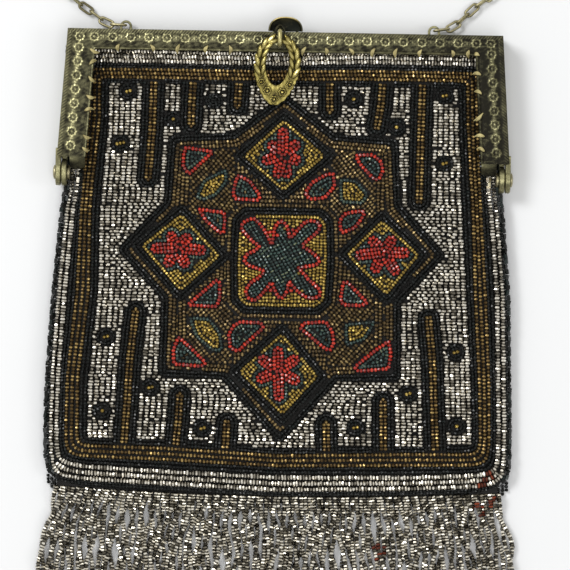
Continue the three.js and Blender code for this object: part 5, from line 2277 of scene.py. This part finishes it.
@dataclass
class Chain:
    """The chain handle: oval wire links, each square to the next, along the solid's route."""

    length: float = 6.2
    width: float = 3.2
    wire: float = 0.9
    route: tuple[tuple[float, float, float], ...] = (
        (-61.6, 6.0, 2.5), (-66.2, 9.0, 1.75), (-72.4, 13.3, 1.65), (-78.6, 19.2, 1.65), (-82.8, 28.0, 1.65),
        (-83.6, 39.0, 1.65), (-78.4, 53.0, 1.65), (-66.0, 66.0, 1.65), (-47.0, 76.6, 1.65),
        (-24.0, 82.8, 1.65),
        (0.0, 84.8, 1.65), (24.0, 83.2, 1.65), (45.5, 77.6, 1.65), (63.4, 67.2, 1.65), (75.4, 54.0, 1.65),
        (80.4, 40.6, 1.65), (78.8, 28.6, 1.65), (73.0, 19.8, 1.65), (65.4, 13.6, 1.65), (61.0, 9.4, 1.75),
        (57.4, 6.6, 2.5),
    )

    def path(self) -> Array:
        """The route as a smooth line from ear to ear.

        Each stretch blends the lines through its four nearest points, timed by the square root of the
        distances between them.

        Returns:
            Its points.
        """
        inset = 0.9 + 0.3 + self.wire / 2
        height = EAR_Y + self.wire / 2
        left, right = EARS[0] - EAR_HALF + inset, EARS[1] + EAR_HALF - inset
        ends = np.array([(left, height, EAR_Z), (right, height, EAR_Z)])
        points = np.concatenate([ends[:1], np.array(self.route), ends[1:]])
        points = np.concatenate([2 * points[:1] - points[1:2], points, 2 * points[-1:] - points[-2:-1]])
        p = [points[i : len(points) - 3 + i] for i in range(4)]
        knots = [np.zeros((len(p[0]), 1))]
        for i in range(3):
            knots.append(knots[-1] + np.linalg.norm(p[i + 1] - p[i], axis=1, keepdims=True) ** 0.5)
        made = []
        for share in np.linspace(0, 1, 24, endpoint=False):
            t = knots[1] + share * (knots[2] - knots[1])
            line = list(p)
            for spans in (((0, 1), (1, 2), (2, 3)), ((0, 2), (1, 3)), ((1, 2),)):
                pairs = [(knots[first], knots[last]) for first, last in spans]
                line = [
                    (line[i] * (late - t) + line[i + 1] * (t - early)) / (late - early)
                    for i, (early, late) in enumerate(pairs)
                ]
            made.append(line[0])
        return np.concatenate([np.stack(made, axis=1).reshape(-1, 3), ends[1:]])

    def build(self) -> None:
        """Builds the links."""
        path = self.path()
        along = arc_lengths(path)
        reach = (self.length - self.wire) / 2
        room = along[-1] - 2 * reach
        count = int(np.ceil(room / (self.length - 2 * self.wire))) + 1
        count += 1 - count % 2
        at = reach + room * np.arange(count) / (count - 1)
        chance = np.random.default_rng(41)

        def point(where: Array) -> Array:
            """Points of the path at distances from its start."""
            return np.stack([np.interp(where, along, column) for column in path.T], axis=1)

        middle = point(at)
        ahead = 2.0
        run = unit(point(at + ahead) - point(at - ahead))
        level = unit(np.cross(np.array([0.0, 0.0, 1.0]), run))
        roll = np.where(np.arange(count) % 2 == 0, pi / 2, 0.0) + chance.normal(0, 0.12, count)
        roll[[0, -1]] = pi / 2
        across = level * np.cos(roll)[:, None] + np.cross(run, level) * np.sin(roll)[:, None]
        up = np.cross(run, across)
        around, sides = 22, 8
        line = stadium(self.length, self.width, self.wire, around)
        wire = closed_wire(line, self.wire, sides).reshape(-1, 3)
        points = middle[:, None] + wire[None, :, :1] * run[:, None] + wire[None, :, 1:2] * across[:, None]
        points = points + wire[None, :, 2:] * up[:, None]
        brass = OldBrass("chain_wire_brass", (0.03, 0.025, 0.014), (0.19, 0.17, 0.09), (0.5, 0.45, 0.27))
        skin = Skin()
        for link in points:
            skin.hoop(link.reshape(around, sides, 3), float(chance.uniform(0.3, 0.75)))
        piece = skin.make("chain_links", brass.look(), 60)
        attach(piece, "purse")
        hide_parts("chain_left", "chain_right")


@dataclass(frozen=True)
class Stitches:
    """The gold sewing silk that passes over the jaw's inner lip into the beads.

    The places lie across along the bar, and down each arm.
    """

    top: tuple[float, ...] = (-57.2, -46.5, -36.4, -26.6, -19.3, 7.2, 13.8, 22, 31, 38.6, 47.1, 57.4, 63.5)
    left: tuple[float, ...] = (6.5, 12, 15.9, 22.5, 28, 36.3, 40.5)
    right: tuple[float, ...] = (6.4, 13.2, 19.7, 26.2, 34.5, 39.5)

    def build(self) -> None:
        """Builds every stitch as a loop of two strands."""
        chance = np.random.default_rng(51)
        skin = Skin()
        places = [(x, BAR - 1.0, 0.0, 1.0) for x in self.top]
        places += [(-(outer_x(d) - ARM_WIDTH) - 0.7, d + 0.7, 1.0, 0.2) for d in self.left]
        places += [(outer_x(d) - ARM_WIDTH + 0.7, d + 0.7, -1.0, 0.2) for d in self.right]
        t = np.linspace(0, 1, 11)
        for x, depth, run, fall in places:
            slant = chance.normal(0, 0.8)
            for shift in (-0.26, 0.26):
                reach = 2.5 + chance.normal(0, 0.4)
                bow = shift * np.sin(t * pi) + 0.5 * np.sin(t * pi) * np.sign(slant)
                px = x + (t - 0.35) * reach * run + (bow + slant * t) * (run == 0)
                py = TOP - depth - (t - 0.35) * reach * fall - (bow + slant * t) * (run != 0)
                pz = 12.62 + 0.35 * np.sin(t * pi) - 1.9 * t**2.2
                pz = np.where(t == 0, 11.6, pz)
                skin.solid(tube_surface(np.stack([px, py, pz], axis=1), 0.14 + 0.26 * np.sin(t * pi), 6))
        silk = Thread("gold_sewing_silk", (0.14, 0.11, 0.035), (0.5, 0.43, 0.19))
        piece = skin.make("lip_stitches", silk.look(), 60)
        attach(piece, "purse")


@dataclass(frozen=True)
class Studio:
    """The pale floor, the lights and the camera straight above the purse."""

    middle: tuple[float, float] = (1.4, -83.75)
    distance: float = 1.4
    field_mm: float = 196.6
    bead_plane: float = 12.0
    turn: float = 0.0183
    sensor: float = 36.0
    floor_half: float = 6000.0
    floor_z: float = -0.05

    def camera(self) -> None:
        """The camera: straight down, turned about a degree, wide enough for the photograph's field."""
        data = bpy.data.cameras.new("camera")
        data.sensor_width = self.sensor
        data.sensor_fit = "HORIZONTAL"
        data.lens = self.sensor * self.distance / (self.field_mm * MM)
        data.clip_start = 0.05
        made = bpy.data.objects.new("camera", data)
        made.location = (self.middle[0] * MM, self.middle[1] * MM, self.bead_plane * MM + self.distance)
        made.rotation_euler = (0, 0, self.turn)
        bpy.context.scene.collection.objects.link(made)
        bpy.context.scene.camera = made

    def build(self) -> None:
        """The floor and the lights."""
        floor = Skin()
        corners = np.array([(-1, -1, 0), (1, -1, 0), (1, 1, 0), (-1, 1, 0)]) * self.floor_half
        floor.add(corners + (0, 0, self.floor_z), [np.arange(4)[None]])
        look, bench, shader = material("pale_floor")
        dress(bench, shader, Base_Color=(0.59, 0.597, 0.605, 1), Roughness=0.8)
        floor.make("floor", look, 0)
        world = bpy.data.worlds.new("studio")
        world.use_nodes = True
        sky = world.node_tree.nodes["Background"]
        sky.inputs["Color"].default_value = (1.0, 0.99, 0.965, 1)
        sky.inputs["Strength"].default_value = 0.72
        bpy.context.scene.world = world
        bpy.context.scene.view_settings.view_transform = "Standard"
        self._light("window", (-0.75, 0.55, 1.15), 0.5, 16.0)
        self._light("high_panel", (0.15, -0.5, 1.6), 0.9, 9.0)
        self._light("side_panel", (0.9, -0.1, 0.9), 0.35, 2.2)

    def _light(self, name: str, place: tuple[float, float, float], size: float, power: float) -> None:
        """A square soft light aimed at the middle of the bag.

        Args:
            name: Its name.
            place: Where it stands, in metres.
            size: The length of its side.
            power: Its power.
        """
        data = bpy.data.lights.new(name, "AREA")
        data.size = size
        data.energy = power
        made = bpy.data.objects.new(name, data)
        made.location = place
        aim = Vector((0, self.middle[1] * MM, 0)) - made.location
        made.rotation_euler = aim.to_track_quat("-Z", "Y").to_euler()
        bpy.context.scene.collection.objects.link(made)


def main() -> None:
    logging.basicConfig(level=logging.INFO, format="%(name)s: %(message)s")
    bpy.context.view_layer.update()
    studio = Studio()
    studio.camera()
    studio.build()
    for part in (Jaws(), Clasp(), Wreath(), Chain(), Stitches(), Fringe(), BeadedBag()):
        log.info("building %s", type(part).__name__)
        part.build()


if __name__ == "__main__":
    main()
